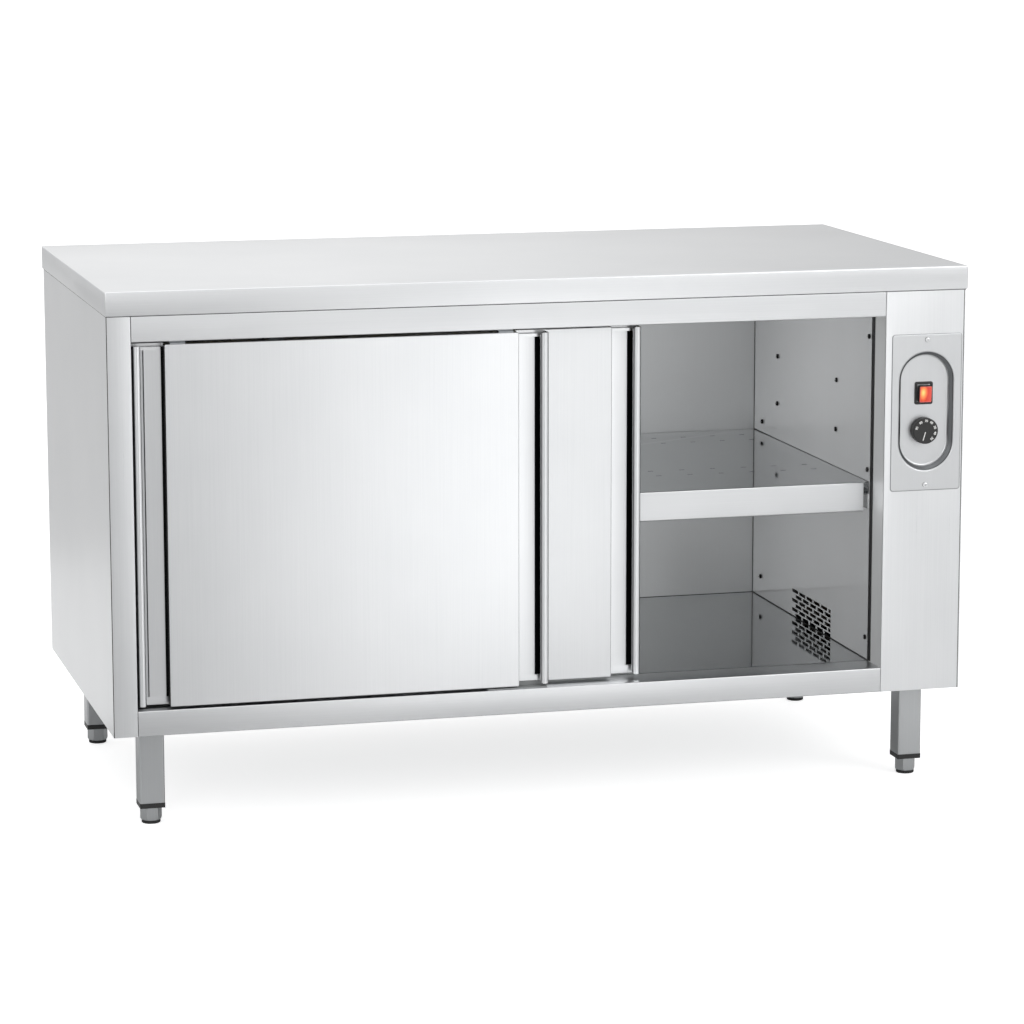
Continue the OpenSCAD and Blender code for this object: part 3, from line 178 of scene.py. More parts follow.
# painted light: the heater wall is a lighter copy of the lining steel
heater_wall_lightened = brushed("painted_light_heater_wall", "#DEDFE0", "#E8E9EA", 0.09, "Z", 0.2, 0.62,
                            0.01, 0.02)
back_wall_steel = brushed("matt_stainless_back_wall", "#C3C5C6", "#CFD0D1", 0.42, "Z", 0.2, 0.75)
floor_steel = brushed("rolled_stainless_floor", "#B2B5B6", "#BEC0C1", 0.06, "X", 0.1, 1.0, 0.005, 0.02)
shelf_edge_steel = brushed("brushed_stainless_shelf_edge", "#C1C3C5", "#D8D9DA", 0.34, "X")
print("lining steels made")

# %% [markdown]
# ## Small metal parts
# Zinc plating is pale and even, and a screw's rim is painted almost black, a painted shade. The feet are
# turned from bar and a shade darker than sheet. Hidden carriers are galvanised. The fan's rotor is bare
# aluminium, and the heater's steel has gone brown with heat.

# %% Small metals
plain_steel = brushed("galvanised_sheet", "#7E8285", "#A6AAAD", 0.38, "X", 0.1)
screw_steel = brushed("zinc_plated_screw", "#D6D8DA", "#ECEDEE", 0.28, "Z", 0.1, 0.7)
screw_rim_shade = brushed("painted_shade_screw_rim", "#242424", "#303030", 0.40, "Z", 0.1)
turned_steel = brushed("turned_steel_foot", "#9FA1A3", "#BDBFC0", 0.30, "Z", 0.2)
bare_aluminium = brushed("bare_aluminium_rotor", "#B5B8BA", "#D2D4D5", 0.33, "Y", 0.1)
heater_steel = brushed("heat_tinted_steel", "#6E6154", "#A59A8C", 0.35, "Y", 0.1)
print("small metals made")

# %% [markdown]
# ## Plastics, wool and other plain materials
# Moulded plastic has a fine leathery grain from its mould and a slightly uneven gloss. Pressed
# mineral wool is fibrous and yellow. Both are the same recipe with other numbers: a speckle of
# noise at the real size of the grain, worked into colour, roughness and height.

# %% Moulded and pressed
def moulded(name, dark, light, rough, grain_mm, height_mm, stretch=(1, 1, 1), metallic=0.0):
    mat, shader = blank(name, roughness=rough, metallic=metallic)
    place = add(mat, "TexCoord").outputs["Object"]
    scale = [s / (grain_mm * MM) for s in stretch]
    spread = add(mat, "Mapping", {"Vector": place, "Scale": scale})
    speckle = add(mat, "TexNoise", {"Vector": spread.outputs[0], "Scale": 1.0, "Detail": 4.0}).outputs[0]
    height = add(mat, "Bump", {"Height": speckle, "Strength": 0.4, "Distance": height_mm * MM})
    plug(mat, shader, base_color=tint(mat, dark, light, speckle),
         roughness=between(mat, rough - 0.08, rough + 0.08, speckle), normal=height.outputs[0])
    return mat


black_plastic = moulded("black_moulded_plastic", "#151515", "#222222", 0.42, 0.6, 0.02)
grey_nylon = moulded("grey_guide_nylon", "#8A8C8D", "#9A9C9D", 0.45, 0.8, 0.02)
knob_plastic = moulded("charcoal_knob_plastic", "#171717", "#202020", 0.48, 0.5, 0.02)
sole_rubber = moulded("black_sole", "#161616", "#232323", 0.65, 0.8, 0.05)
nylon_white = moulded("natural_nylon", "#DEDDD6", "#EDECE6", 0.45, 0.8, 0.02)
wool = moulded("mineral_wool", "#A8964E", "#CDBD77", 0.95, 3.0, 1.2, (1, 1, 6))
motor_iron = moulded("lacquered_iron_stack", "#26282B", "#3C3F43", 0.40, 1.0, 0.05, (1, 6, 1))
rocker_black = moulded("black_rocker_body", "#121212", "#1E1E1E", 0.35, 0.5, 0.02)
white_print = moulded("white_dial_print", "#E6E6E4", "#F2F2F0", 0.55, 0.4, 0.01)
ivory = moulded("ivory_polyamide", "#D9D3C1", "#E8E3D4", 0.50, 0.8, 0.02)
plated = moulded("plated_thermostat_case", "#9C9D9B", "#B7B8B5", 0.35, 1.5, 0.02, metallic=1.0)
print("plastics made")

# %% [markdown]
# ## The lit rocker
# The cap is clear red plastic with a small neon lamp behind it. The lamp shows as a warm yellow
# patch left of the middle, and the plastic turns pink where the light leaves it on the right.
# The glow is a soft, upright ball round the lamp's place, measured in the piece's own space, so
# it stays with the cap as the cap tips.

# %% Lit rocker
LAMP = Vector((0.6290, -0.345, 0.6445))
SQUEEZE = Vector((1.3, 1.0, 0.7))


def lit_red(name):
    mat, shader = blank(name, roughness=0.22)
    place = add(mat, "TexCoord").outputs["Object"]
    squeezed = add(mat, "VectorMath", {0: place, 1: SQUEEZE}, operation="MULTIPLY")
    away = add(mat, "VectorMath", {0: squeezed.outputs["Vector"], 1: LAMP * SQUEEZE}, operation="DISTANCE")
    near = add(mat, "MapRange", {"Value": away.outputs["Value"], "From Min": 0.002, "From Max": 0.011,
                                 "To Min": 1.0, "To Max": 0.0})
    side = add(mat, "SeparateXYZ", {0: place})
    right = add(mat, "MapRange", {"Value": side.outputs[0], "From Min": 0.632, "From Max": 0.645})
    body = tint(mat, "#CE3A22", "#E4574C", right.outputs[0])
    glow = tint(mat, "#D8361B", "#FFDC7E", near.outputs[0])
    plug(mat, shader, base_color=body, emission_color=glow,
         emission_strength=between(mat, 0.12, 0.95, near.outputs[0]))
    return mat


lamp_red = lit_red("lit_red_rocker")
lamp_rim = moulded("pink_rocker_rim", "#D9655C", "#E0756C", 0.3, 0.5, 0.01)
print("lamp material made")

# %% [markdown]
# ## Dress the frame
# Every solid of the frame first gets the finish of its material slot, and a few get their own.
# Some of them are covered by finer pieces further down, and the rest stay as they are.

# %% Dress the solids
FINISH = {
    "worktop_steel": worktop_steel, "outer_steel": panel_steel, "door_steel": door_steel,
    "inner_steel": inner_steel, "plain_steel": plain_steel, "screw_steel": screw_steel,
    "foot_metal": turned_steel, "impeller_alu": bare_aluminium, "motor_iron": motor_iron,
    "heater_steel": heater_steel, "thermostat_metal": plated, "mineral_wool": wool,
    "black_plastic": black_plastic, "sole_plastic": sole_rubber, "nylon": nylon_white,
    "lamp_red": lamp_red, "terminal_white": ivory,
}
OWN = {
    "liner_floor": floor_steel, "shelf": floor_steel, "top_rail": rail_steel,
    "bottom_rail": rail_steel, "control_knob": knob_plastic, "bottom_guide": grey_nylon,
    "liner_right": heater_wall_lightened, "liner_back": back_wall_steel,
}
slot_of = {part["node"]: part["material_slot"] for part in frame["record"]["subparts"]}
for name, obj in frame["nodes"].items():
    obj.data.materials.clear()
    obj.data.materials.append(OWN.get(name, FINISH[slot_of[name]]))
print("dressed", len(slot_of), "nodes")

# %% [markdown]
# ## Sheet metal from its folded line
# A folded part is one line seen from its end: the outside of the sheet, with a bend at each
# corner. The line is drawn once, each corner is turned into an arc, and the sheet's inside follows
# at its thickness along the line's normals. Pulled out along the fold this gives even quads, and
# bends whose inner and outer arcs share one centre, as a press brake makes them.

# %% Folded lines
BEND_STEPS = 6


def left_of(way):
    return Vector((-way.y, way.x))


def bent(corners, radius, steps=BEND_STEPS):
    """Points of an open line in millimetres with round corners, each with its left-hand normal."""
    line = [Vector(corner) for corner in corners]
    ways = [(b - a).normalized() for a, b in zip(line, line[1:])]
    stations = [(line[0], left_of(ways[0]))]
    for here, way_in, way_out in zip(line[1:-1], ways, ways[1:]):
        turn = math.atan2(way_in.cross(way_out), way_in.dot(way_out))
        sign = math.copysign(1, turn)
        side = left_of(way_in) * sign
        centre = here - way_in * radius * math.tan(abs(turn) / 2) + side * radius
        for k in range(steps + 1):
            c, s = math.cos(turn * k / steps), math.sin(turn * k / steps)
            arm = Vector((-side.x * c + side.y * s, -side.x * s - side.y * c))
            stations.append((centre + arm * radius, -arm * sign))
    stations.append((line[-1], left_of(ways[-1])))
    return stations


def quads(bm, rings):
    """Faces between closed rings of points; each ring has the same number of points."""
    made = [[bm.verts.new(point) for point in ring] for ring in rings]
    faces = []
    for a, b in zip(made, made[1:]):
        for i in range(len(a)):
            j = (i + 1) % len(a)
            faces.append(bm.faces.new((a[i], a[j], b[j], b[i])))
    return made, faces


def tube(bm, rings):
    """The same, closed with one flat face at each end."""
    made, faces = quads(bm, rings)
    return faces + [bm.faces.new(made[0]), bm.faces.new(made[-1])]


def fold(bm, stations, sheet, ends, place):
    """Pulls a folded line out between its ends; a sheet below zero lies to the line's right."""
    rings = []
    for k, (point, normal) in enumerate(stations):
        inner = point + normal * sheet
        low, high = ends[k] if isinstance(ends, list) else ends
        rings.append([place(point, low), place(point, high), place(inner, high), place(inner, low)])
    return tube(bm, rings)


def along_z(point, w):
    return Vector((point.x, point.y, w)) * MM


def along_x(point, w):
    return Vector((w, point.x, point.y)) * MM


def flange(bm, low, high):
    """A short straight stretch of sheet, from its low corner to its high corner."""
    flat = [(low[0], low[1]), (high[0], low[1]), (high[0], high[1]), (low[0], high[1])]
    tube(bm, [[Vector((x, y, z)) * MM for x, y in flat] for z in (low[2], high[2])])


print("a folded corner takes", len(bent([(0, 0), (9, 0), (9, 9)], 2)) - 2, "points")

# %% [markdown]
# ## From points to a piece
# A real sheet has no knife edge. Where a millimetre of roundness shows, a bevel modifier breaks the edge.
# Where the section has its bends drawn already, the normals are weighted by area instead, because a large
# flat face beside a bend would otherwise shade as if it were domed. Then the piece rides on its body and
# hides the solids that it stands for.

# %% Pieces
def piece(name, bm, mats, body, stands_for, round_mm=0.25, angle=35):
    """Makes the object: merged points, outward faces, broken edges and flat faces that shade flat."""
    bmesh.ops.remove_doubles(bm, verts=bm.verts, dist=0.001 * MM)
    bmesh.ops.recalc_face_normals(bm, faces=bm.faces)
    mesh = bpy.data.meshes.new(name)
    bm.to_mesh(mesh)
    bm.free()
    mesh.shade_smooth()
    mesh.set_sharp_from_angle(angle=math.radians(angle))
    for mat in mats:
        mesh.materials.append(mat)
    made = show(name, mesh)
    if round_mm:
        edge = made.modifiers.new("broken_edges", "BEVEL")
        edge.width, edge.segments, edge.harden_normals = round_mm * MM, 2, True
        edge.limit_method, edge.angle_limit = "ANGLE", math.radians(60)
    else:
        even = made.modifiers.new("large_faces_lead", "WEIGHTED_NORMAL")
        even.mode, even.weight, even.keep_sharp = "FACE_AREA", 100, True
    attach(made, body)
    if stands_for:
        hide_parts(*stands_for)
    print(name, len(mesh.polygons), "faces")
    return made


def show(name, data):
    made = bpy.data.objects.new(name, data)
    bpy.context.scene.collection.objects.link(made)
    return made


def mm_box(node):
    low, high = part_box(node)
    return low / MM, high / MM


# %% [markdown]
# ## The worktop
# One tray of 1.5 mm sheet: a flat top, an edge folded down all round and a lip folded inward below
# it. Its section is drawn once as insets and heights and then carried round a rectangle whose
# corners are as round as the bend. The top and the underside are closed with one flat face each.

# %% Worktop
def rounded_ring(w, d, r, steps=BEND_STEPS):
    """Points round a rectangle with round corners, middle at the origin, counterclockwise."""
    r = max(r, 0.0)
    ring = []
    for k, (sx, sy) in enumerate(((1, 1), (-1, 1), (-1, -1), (1, -1))):
        for i in range(steps + 1):
            a = math.radians(90 * (k + i / steps))
            ring.append(Vector((sx * (w / 2 - r) + r * math.cos(a), sy * (d / 2 - r) + r * math.sin(a))))
    return ring


def quarter(r, start):
    """Offsets along a quarter of a circle of radius r."""
    angles = [math.radians(start + 90 * i / BEND_STEPS) for i in range(BEND_STEPS + 1)]
    return [(r * math.cos(a), r * math.sin(a)) for a in angles]


def make_worktop():
    low, high = mm_box("worktop")
    w, d = high.x - low.x, high.y - low.y
    sheet, bend, low_bend, lip = 1.5, 2.0, 1.5, 12.0
    section = [(bend - x, high.z - bend + y) for x, y in reversed(quarter(bend, 0))]
    section += [(low_bend - x, low.z + low_bend + y) for x, y in reversed(quarter(low_bend, -90))]
    section += [(sheet + lip, low.z), (sheet + lip, low.z + sheet), (sheet, low.z + sheet)]
    section += [(bend - x, high.z - bend + y) for x, y in quarter(bend - sheet, 0)]
    bm = bmesh.new()
    tube(bm, [[Vector((p.x, p.y, z)) * MM
               for p in rounded_ring(w - 2 * inset, d - 2 * inset, bend - inset)]
              for inset, z in section])
    piece("worktop_tray", bm, [worktop_steel], "cabinet", ["worktop"], 0.2)


make_worktop()

# %% [markdown]
# ## Stile and control column
# The four front members are separate folded sheets that meet in fine joints beside the opening.
# The two uprights fold back as jambs and return a little behind the opening. Their jambs start above the
# bottom rail, so the face and the jamb have ends of their own. Turned-in faces get the jamb's matt finish,
# and the last bend is painted near black, a painted shade where it lies in the dark.

# %% Uprights
def make_upright(name, node, wide_from, wide_to):
    low, high = mm_box(node)
    sheet, bend, returned, stiffener = 1.2, 1.8, 15, 22
    jamb_from, jamb_to = low.z + 14, high.z - sheet
    inward = 1 if wide_to > wide_from else -1
    line = [(wide_from, low.y), (wide_to, low.y), (wide_to, high.y), (wide_to - inward * returned, high.y)]
    stations = bent(line, bend)
    corner = BEND_STEPS + 1
    stations.insert(corner + 1, stations[corner])
    ends = [(low.z, high.z) if k <= corner else (jamb_from, jamb_to) for k in range(len(stations))]
    bm = bmesh.new()
    fold(bm, stations, sheet * inward, ends, along_z)
    back = sorted((wide_from + inward * sheet, wide_from + inward * 2 * sheet))
    flange(bm, (back[0], low.y + sheet, jamb_from), (back[1], low.y + sheet + stiffener, jamb_to))
    made = piece(name, bm, [panel_steel, jamb_steel, fold_shade_black], "cabinet", [node], 0.4)
    # jamb faces get the matt jamb steel; the last bend is painted near black, a painted shade
    for face in made.data.polygons:
        middle = face.center / MM
        if abs(middle.x - wide_to) < 2.0 and middle.y > low.y + bend:
            face.material_index = 2 if middle.y > high.y - bend else 1
    return made


stile_low, stile_high = mm_box("left_stile")
make_upright("left_stile_sheet", "left_stile", stile_low.x, stile_high.x)
column_low, column_high = mm_box("control_column")
column = make_upright("control_column_sheet", "control_column", column_high.x, column_low.x)

# %% [markdown]
# ## The opening in the column
# The pressed recess of the control plate sinks through the column, so the column needs a
# stadium-shaped opening, as large as the recess with its round rim. A boolean cut is the plain way
# to get it. It is worked out at once and kept as the mesh, so that the exact solver runs one time
# and the piece's own edges are broken after the cut.

# %% Cut the column
def cut(target, cutter_bm):
    """Cuts a shape out of a piece and keeps the result as its mesh."""
    mesh = bpy.data.meshes.new("cutter")
    bmesh.ops.recalc_face_normals(cutter_bm, faces=cutter_bm.faces)
    cutter_bm.to_mesh(mesh)
    cutter_bm.free()
    tool = show("cutter", mesh)
    others = list(target.modifiers)
    for later in others:
        later.show_viewport = False
    step = target.modifiers.new("cut", "BOOLEAN")
    step.operation, step.solver, step.object = "DIFFERENCE", "EXACT", tool
    bpy.context.view_layer.update()
    graph = bpy.context.evaluated_depsgraph_get()
    result = bpy.data.meshes.new_from_object(target.evaluated_get(graph))
    target.modifiers.remove(step)
    for later in others:
        later.show_viewport = True
    old, target.data = target.data, result
    result.name = old.name
    bpy.data.meshes.remove(old)
    bpy.data.objects.remove(tool)
    bpy.data.meshes.remove(mesh)
    print(target.name, "cut,", len(result.polygons), "faces")


def stadium_ring(r, half, steps=24):
    """Points round a stadium that stands on end, middle at the origin, seen from the front."""
    ring = []
    for k, lift in enumerate((half, -half)):
        for i in range(steps + 1):
            a = math.radians(180 * (k + i / steps))
            ring.append(Vector((r * math.cos(a), lift + r * math.sin(a))))
    return ring


plate_low, plate_high = mm_box("control_plate")
PANEL_X, PANEL_Z = (plate_low.x + plate_high.x) / 2, (plate_low.z + plate_high.z) / 2
RECESS_Z, RECESS_R, RECESS_HALF, RIM_BEND = PANEL_Z + 2.0, 46.0, 50.0, 3.0
hole = bmesh.new()
tube(hole, [[Vector((PANEL_X + p.x, y, RECESS_Z + p.y)) * MM
             for p in stadium_ring(RECESS_R + RIM_BEND, RECESS_HALF)]
            for y in (column_low.y - 2, column_low.y + 2)])
cut(column, hole)

# %% [markdown]
# ## The rails
# The top rail hangs below the worktop with a small lip under the opening's upper edge. The bottom
# rail carries the door guide and turns down behind it. Each end is drawn a third of a millimetre
# short and its edge is broken, so the joint shows as the thin dark line of the real one.

# %% Rails
JOINT, TOP_LIP, FOOT_SHELF, FOOT_BACK = 0.35, 7.7, 39, 21.8


def make_rail(name, node, line, steel):
    low, high = mm_box(node)
    bm = bmesh.new()
    fold(bm, bent(line, 1.8), -1.2, (low.x + JOINT, high.x - JOINT), along_x)
    piece(name, bm, [steel], "cabinet", [node], 0.4)


low, high = mm_box("top_rail")
make_rail("top_rail_sheet", "top_rail",
          [(low.y + TOP_LIP, low.z), (low.y, low.z), (low.y, high.z), (high.y, high.z)], rail_steel)
low, high = mm_box("bottom_rail")
make_rail("bottom_rail_sheet", "bottom_rail",
          [(low.y + FOOT_SHELF, low.z), (low.y, low.z), (low.y, high.z), (high.y, high.z),
           (high.y, high.z - FOOT_BACK)], foot_rail_steel)

# %% [markdown]
# ## Shadow strips in seams and corners
# Black strips about a millimetre wide and almost flush are painted shadow: one under the worktop's edge
# where it meets the carcass, two in the narrow open seams where the side panels meet the front sheets, and
# more behind the jamb, over the shelf and where the sheets of the lining meet. From a few steps away they
# tell one sheet from the next.

# %% Shadow strips
def make_shadow_strips():
    low, high = mm_box("side_panel_left")[0], mm_box("side_panel_right")[1]
    top, front = mm_box("worktop")[0].z, mm_box("left_stile")[0].y
    wall, back = mm_box("liner_right")[0].x, mm_box("liner_back")[0].y
    left, floor = mm_box("liner_left")[1].x, mm_box("liner_floor")[1].z
    edge, jamb = mm_box("shelf"), mm_box("control_column")[1].y
    roof = mm_box("liner_ceiling")[0].z
    strip_wide, proud = 1.1, 0.3
    under, meets = top - 0.2 - strip_wide, top - 0.2
    bm = bmesh.new()
    # the painted shadow strip under the worktop: front, then both sides
    flange(bm, (low.x - proud, front - proud, under), (high.x + proud, front + 0.8, meets))
    for x in (low.x - proud, high.x + proud - strip_wide):
        flange(bm, (x, front + 0.9, under), (x + strip_wide, high.y - 2, meets))
    # painted shadow in the seams beside the stile and the column
    for x in (low.x - 0.15, high.x - 3.0):
        flange(bm, (x, front - 0.15, low.z + 0.3), (x + strip_wide, front + 0.6, under - 0.1))
    # painted shadow in the lining: behind the jamb, along the floor, up the corner and over the shelf
    flange(bm, (wall - 0.6, jamb - 11, floor + 1), (wall + 0.1, jamb + 2.8, roof - 1))
    flange(bm, (wall - 1.2, jamb + 4, floor - 0.2), (wall + 0.1, back, floor + 1.2))
    flange(bm, (left, back - 0.9, floor - 0.2), (wall - 1.3, back + 0.1, floor + 0.7))
    flange(bm, (wall - 0.9, back - 0.9, floor + 1.3), (wall + 0.1, back + 0.1, roof - 1))
    flange(bm, (wall - 1.1, edge[0].y + 4, edge[1].z - 1.0), (wall + 0.1, edge[1].y, edge[1].z + 0.4))
    # the strips take the black plastic finish, here as painted shadow
    piece("painted_shadow_strips", bm, [black_plastic], "cabinet", [], 0)


make_shadow_strips()

# %% [markdown]
# ## The doors
# Each door is a tray with softly rounded edges between two grips. The tray's section is carried round its
# outline as the worktop's was. Short flanges close it behind, and along its foot they leave a channel for
# the fins of the guide. The bends at its two ends lie beside the grips' open joints and are painted near
# black, a painted shade for the dark of those joints.

# %% Door trays
def make_door_tray(name, node, body):
    low, high = mm_box(node)
    w, h = high.x - low.x, high.z - low.z
    middle_x, middle_z = (low.x + high.x) / 2, (low.z + high.z) / 2
    sheet, bend, wall, channel = 1.0, 1.6, 18.5, low.z + 14
    section = [(bend - x, bend - y) for x, y in reversed(quarter(bend, 0))]
    section += [(0, wall), (sheet, wall)]
    section += [(bend - x, bend - y) for x, y in quarter(bend - sheet, 0)]
    bm = bmesh.new()
    faces = tube(bm, [[Vector((middle_x + p.x, low.y + y, middle_z + p.y)) * MM
                       for p in rounded_ring(w - 2 * inset, h - 2 * inset, bend + 0.6 - inset)]
                      for inset, y in section])
    # the bends at the door's two ends are painted near black, a painted shade
    for face in faces[:-2]:
        middle = face.calc_center_median() / MM
        if middle.y > low.y + 0.4 * bend and abs(middle.x - middle_x) > w / 2 - 0.6 * bend:
            face.material_index = 1
    back = low.y + wall
    flange(bm, (low.x, back, high.z - sheet), (high.x, high.y, high.z))
    flange(bm, (low.x + sheet, back - sheet, low.z + sheet), (high.x - sheet, back, channel + sheet))
    flange(bm, (low.x, back, channel), (high.x, high.y, channel + sheet))
    for x in (low.x, high.x - sheet):
        flange(bm, (x, back, channel + sheet), (x + sheet, high.y, high.z - sheet))
    skin = rear_door_steel if body == "rear_door" else door_steel
    piece(name, bm, [skin, fold_shade_black], body, [node], 0)


face_low, face_high = mm_box("front_door_face")
print("a door's face is", round(face_high.x - face_low.x), "by", round(face_high.z - face_low.z), "mm")

# %% [markdown]
# ## The grips
# A grip is a recessed strip with a lip rolled forward at the door's end, and the lip's own end hooks back
# behind the roll, so that a finger finds a smooth edge. The roll is the same folded line with a half circle
# in it, and its ends are cut back in a small curve. On the right grips the inside of the hook and the pocket
# behind the lip are painted near black, and on every grip so is the backing behind the joint of strip and
# tray: this painted shade stands for the dark hollows and draws the black lines beside each strip. The outer
# flank of each lip is painted dark grey, a painted shade. Both grips are one drawing, read from the door's
# end inward.

# %% Rolled grips
ROLL_STEPS = 16


def straight(x_from, x_to, y):
    """A line across the grip whose sheet lies behind it."""
    return [(Vector((x_from, y)), Vector((0, 1))), (Vector((x_to, y)), Vector((0, 1)))]


def make_grip(name, node, body, right):
    low, high = mm_box(node)
    width, depth = high.x - low.x, high.y - low.y
    outer, way = (high.x, -1) if right else (low.x, 1)
    r, sheet, hook, corner = 6.5, 1.0, 3.0, 4.0
    strip_y, pocket_end, joint = 17.5, 19.0, 1.0 if right else 3.6
    low_end, pocket_low, pocket_high, high_end = low.z + 3, low.z + 12, high.z - 8, high.z - 3

    def set_in(point, w):
        return Vector((outer + way * point.x, low.y + point.y, w)) * MM

    stations = [(Vector((2 * r, r + hook)), Vector((1, 0)))]
    for k in range(ROLL_STEPS + 1):
        a = math.radians(-180 * k / ROLL_STEPS)
        arm = Vector((math.cos(a), math.sin(a)))
        stations.append((Vector((r, r)) + arm * r, arm))
    stations.append((Vector((0, depth)), Vector((-1, 0))))
    ends = []
    for point, _ in stations:
        past = max(0.0, point.x - (2 * r - corner))
        back = corner - math.sqrt(max(corner ** 2 - past ** 2, 0.0))
        ends.append((low.z + back, high.z - back))
    bm = bmesh.new()
    # on the right grips the inside of the hook is painted near black, a painted shade
    for face in fold(bm, stations, -sheet, ends, set_in)[2::4]:
        face.material_index = 1 if right else 0
    floor = [(width - joint, strip_y), (pocket_end, strip_y), (pocket_end, depth - sheet),
             (sheet, depth - sheet)]
    fold(bm, bent(floor, 0.8, 3), -sheet, (pocket_low, pocket_high), set_in)
    # on the right grips the pocket behind the lip is painted near black, a painted shade
    for face in bm.faces:
        middle = face.calc_center_median() / MM
        if right and abs(middle.x - outer) < pocket_end + 0.2 and middle.y > low.y + strip_y + 0.1:
            face.material_index = 1
    for span in ((low_end, pocket_low), (pocket_high, high_end)):
        fold(bm, straight(sheet, width - joint, strip_y), sheet, span, set_in)
    backing = straight(width - joint - 2, width, strip_y + 2)
    # the backing behind the joint is painted near black, a painted shade that draws the black line
    for face in fold(bm, backing, sheet, (low.z + 11, high_end), set_in):
        face.material_index = 1
    closing = straight(sheet, pocket_end, strip_y + sheet)
    for z in (pocket_low - sheet, pocket_high):
        fold(bm, closing, depth - strip_y - sheet, (z, z + sheet), set_in)
    made = piece(name, bm, [door_steel, fold_shade_black, lip_flank_shade], body, [node], 0.15)
    # the outer flank of each lip is painted dark grey, a painted shade
    for face in made.data.polygons:
        if face.normal.x * -way > 0.72 and face.center.y > (low.y + 0.5) * MM:
            face.material_index = 2


for door in ("front_door", "rear_door"):
    make_door_tray(door + "_tray", door + "_face", door)
    make_grip(door + "_rolled_grip_left", door + "_grip_left", door, False)
    make_grip(door + "_rolled_grip_right", door + "_grip_right", door, True)

# %% [markdown]
# ## The shelf
# A tray with a deep front edge that ends a little before the side walls, low flanges elsewhere and
# four rows of small slots. The top and both of its long edges are one folded line, with the ends
# drawn in for the front edge, and the slots are cut with one grid of blocks.

# %% Shelf
SLOT_PITCH, SLOT_LONG, SLOT_WIDE, SLOT_ROWS = 54, 9, 3, (-0.25, -0.17, 0.3, 0.395)


def make_shelf():
    low, high = mm_box("shelf")
    sheet, bend, notch, lip, flange_h = 1.2, 2.2, 9.0, 12, 20.0
    line = [(low.y + lip, low.z), (low.y, low.z), (low.y, high.z), (high.y, high.z),
            (high.y, high.z - flange_h)]
    stations = bent(line, bend)
    split = 1 + 2 * (BEND_STEPS + 1)
    stations.insert(split, stations[split - 1])
    narrow, full = (low.x + notch, high.x - notch), (low.x, high.x)
    ends = [narrow if k < split else full for k in range(len(stations))]
    bm = bmesh.new()
    fold(bm, stations, -sheet, ends, along_x)
    for x in (low.x, high.x - sheet):
        flange(bm, (x, low.y + bend, high.z - flange_h), (x + sheet, high.y - sheet, high.z - sheet))
    made = piece("shelf_sheet", bm, [floor_steel, shelf_edge_steel], "cabinet", ["shelf"],
                 0.3)
    middle, depth = (low + high) / 2, high.y - low.y
    columns = int((high.x - low.x - 60) // SLOT_PITCH)
    slots = bmesh.new()
    for row in SLOT_ROWS:
        for k in range(columns + 1):
            x, y = middle.x + (k - columns / 2) * SLOT_PITCH, middle.y + row * depth
            flange(slots, (x - SLOT_LONG / 2, y - SLOT_WIDE / 2, high.z - 3),
                   (x + SLOT_LONG / 2, y + SLOT_WIDE / 2, high.z + 1))
    cut(made, slots)
    for face in made.data.polygons:
        if face.center.y < (low.y + 1.0) * MM:
            face.material_index = 1


make_shelf()

# %% [markdown]
# ## The control plate
# A plate pressed in one stroke: its outline has a soft rolled edge, and a stadium-shaped recess
# sinks into it with a round rim, a sloping wall and a round corner at its floor. Every ring of the
# recess is a stadium with another radius, so the section of the wall is the only drawing needed.
# The flat part between the rim and the outline is filled between its two edges.

# %% Control plate
def make_control_plate():
    depth, draft, rim, root = 14.0, math.radians(25), RIM_BEND, 4.0
    square, arc = math.radians(90), 8
    rim_r = RECESS_R + rim
    run = (depth - root - rim + (root + rim) * math.sin(draft)) / math.cos(draft)
    root_r = rim_r - (rim + root) * math.cos(draft) - run * math.sin(draft)
    section = []
    for k in range(arc + 1):
        a = square + (square + draft) * k / arc
        section.append((rim_r + rim * math.cos(a), rim - rim * math.sin(a)))
    for k in range(arc + 1):
        a = draft + (-square - draft) * k / arc
        section.append((root_r + root * math.cos(a), depth - root - root * math.sin(a)))
    bm = bmesh.new()
    bowl, walls = quads(bm, [[Vector((PANEL_X + p.x, plate_low.y + y, RECESS_Z + p.y)) * MM
                              for p in stadium_ring(r, RECESS_HALF, 48)] for r, y in section])
    around = len(bowl[0])
    # the wall of the recess is painted darker, a painted shade for the dark bands on its walls
    for face in walls[4 * around:11 * around]:
        face.material_index = 1
    bm.faces.new(bowl[-1])
    w, h = plate_high.x - plate_low.x, plate_high.z - plate_low.z
    roll_wide, roll_deep = 2.5, 0.9
    angles = [math.radians(15 * k) for k in range(7)]
    roll = [(roll_wide * (1 - math.sin(a)), roll_deep * (1 - math.cos(a))) for a in angles]
    border, rolled = quads(bm, [[Vector((PANEL_X + p.x, plate_low.y + y, PANEL_Z + p.y)) * MM
                                 for p in rounded_ring(w - 2 * inset, h - 2 * inset, 5.0 - inset)]
                                for inset, y in roll])
    # the outer rows of the rolled edge are painted darker, a painted shade
    for face in rolled[-4 * len(border[0]):]:
        face.material_index = 2
    between_edges = []
    for loop in (bowl[0], border[0]):
        for i, vert in enumerate(loop):
            found = bm.edges.get((vert, loop[(i + 1) % len(loop)]))
            if found:
                between_edges.append(found)
    bmesh.ops.triangle_fill(bm, use_beauty=True, use_dissolve=False, edges=between_edges)
    made = piece("pressed_control_plate", bm, [plate_steel, recess_wall_shade, plate_edge_shade], "cabinet",
                 ["control_plate"], 0)
    skin = made.modifiers.new("sheet", "SOLIDIFY")
    skin.thickness, skin.offset = 1.1 * MM, -1.0


make_control_plate()

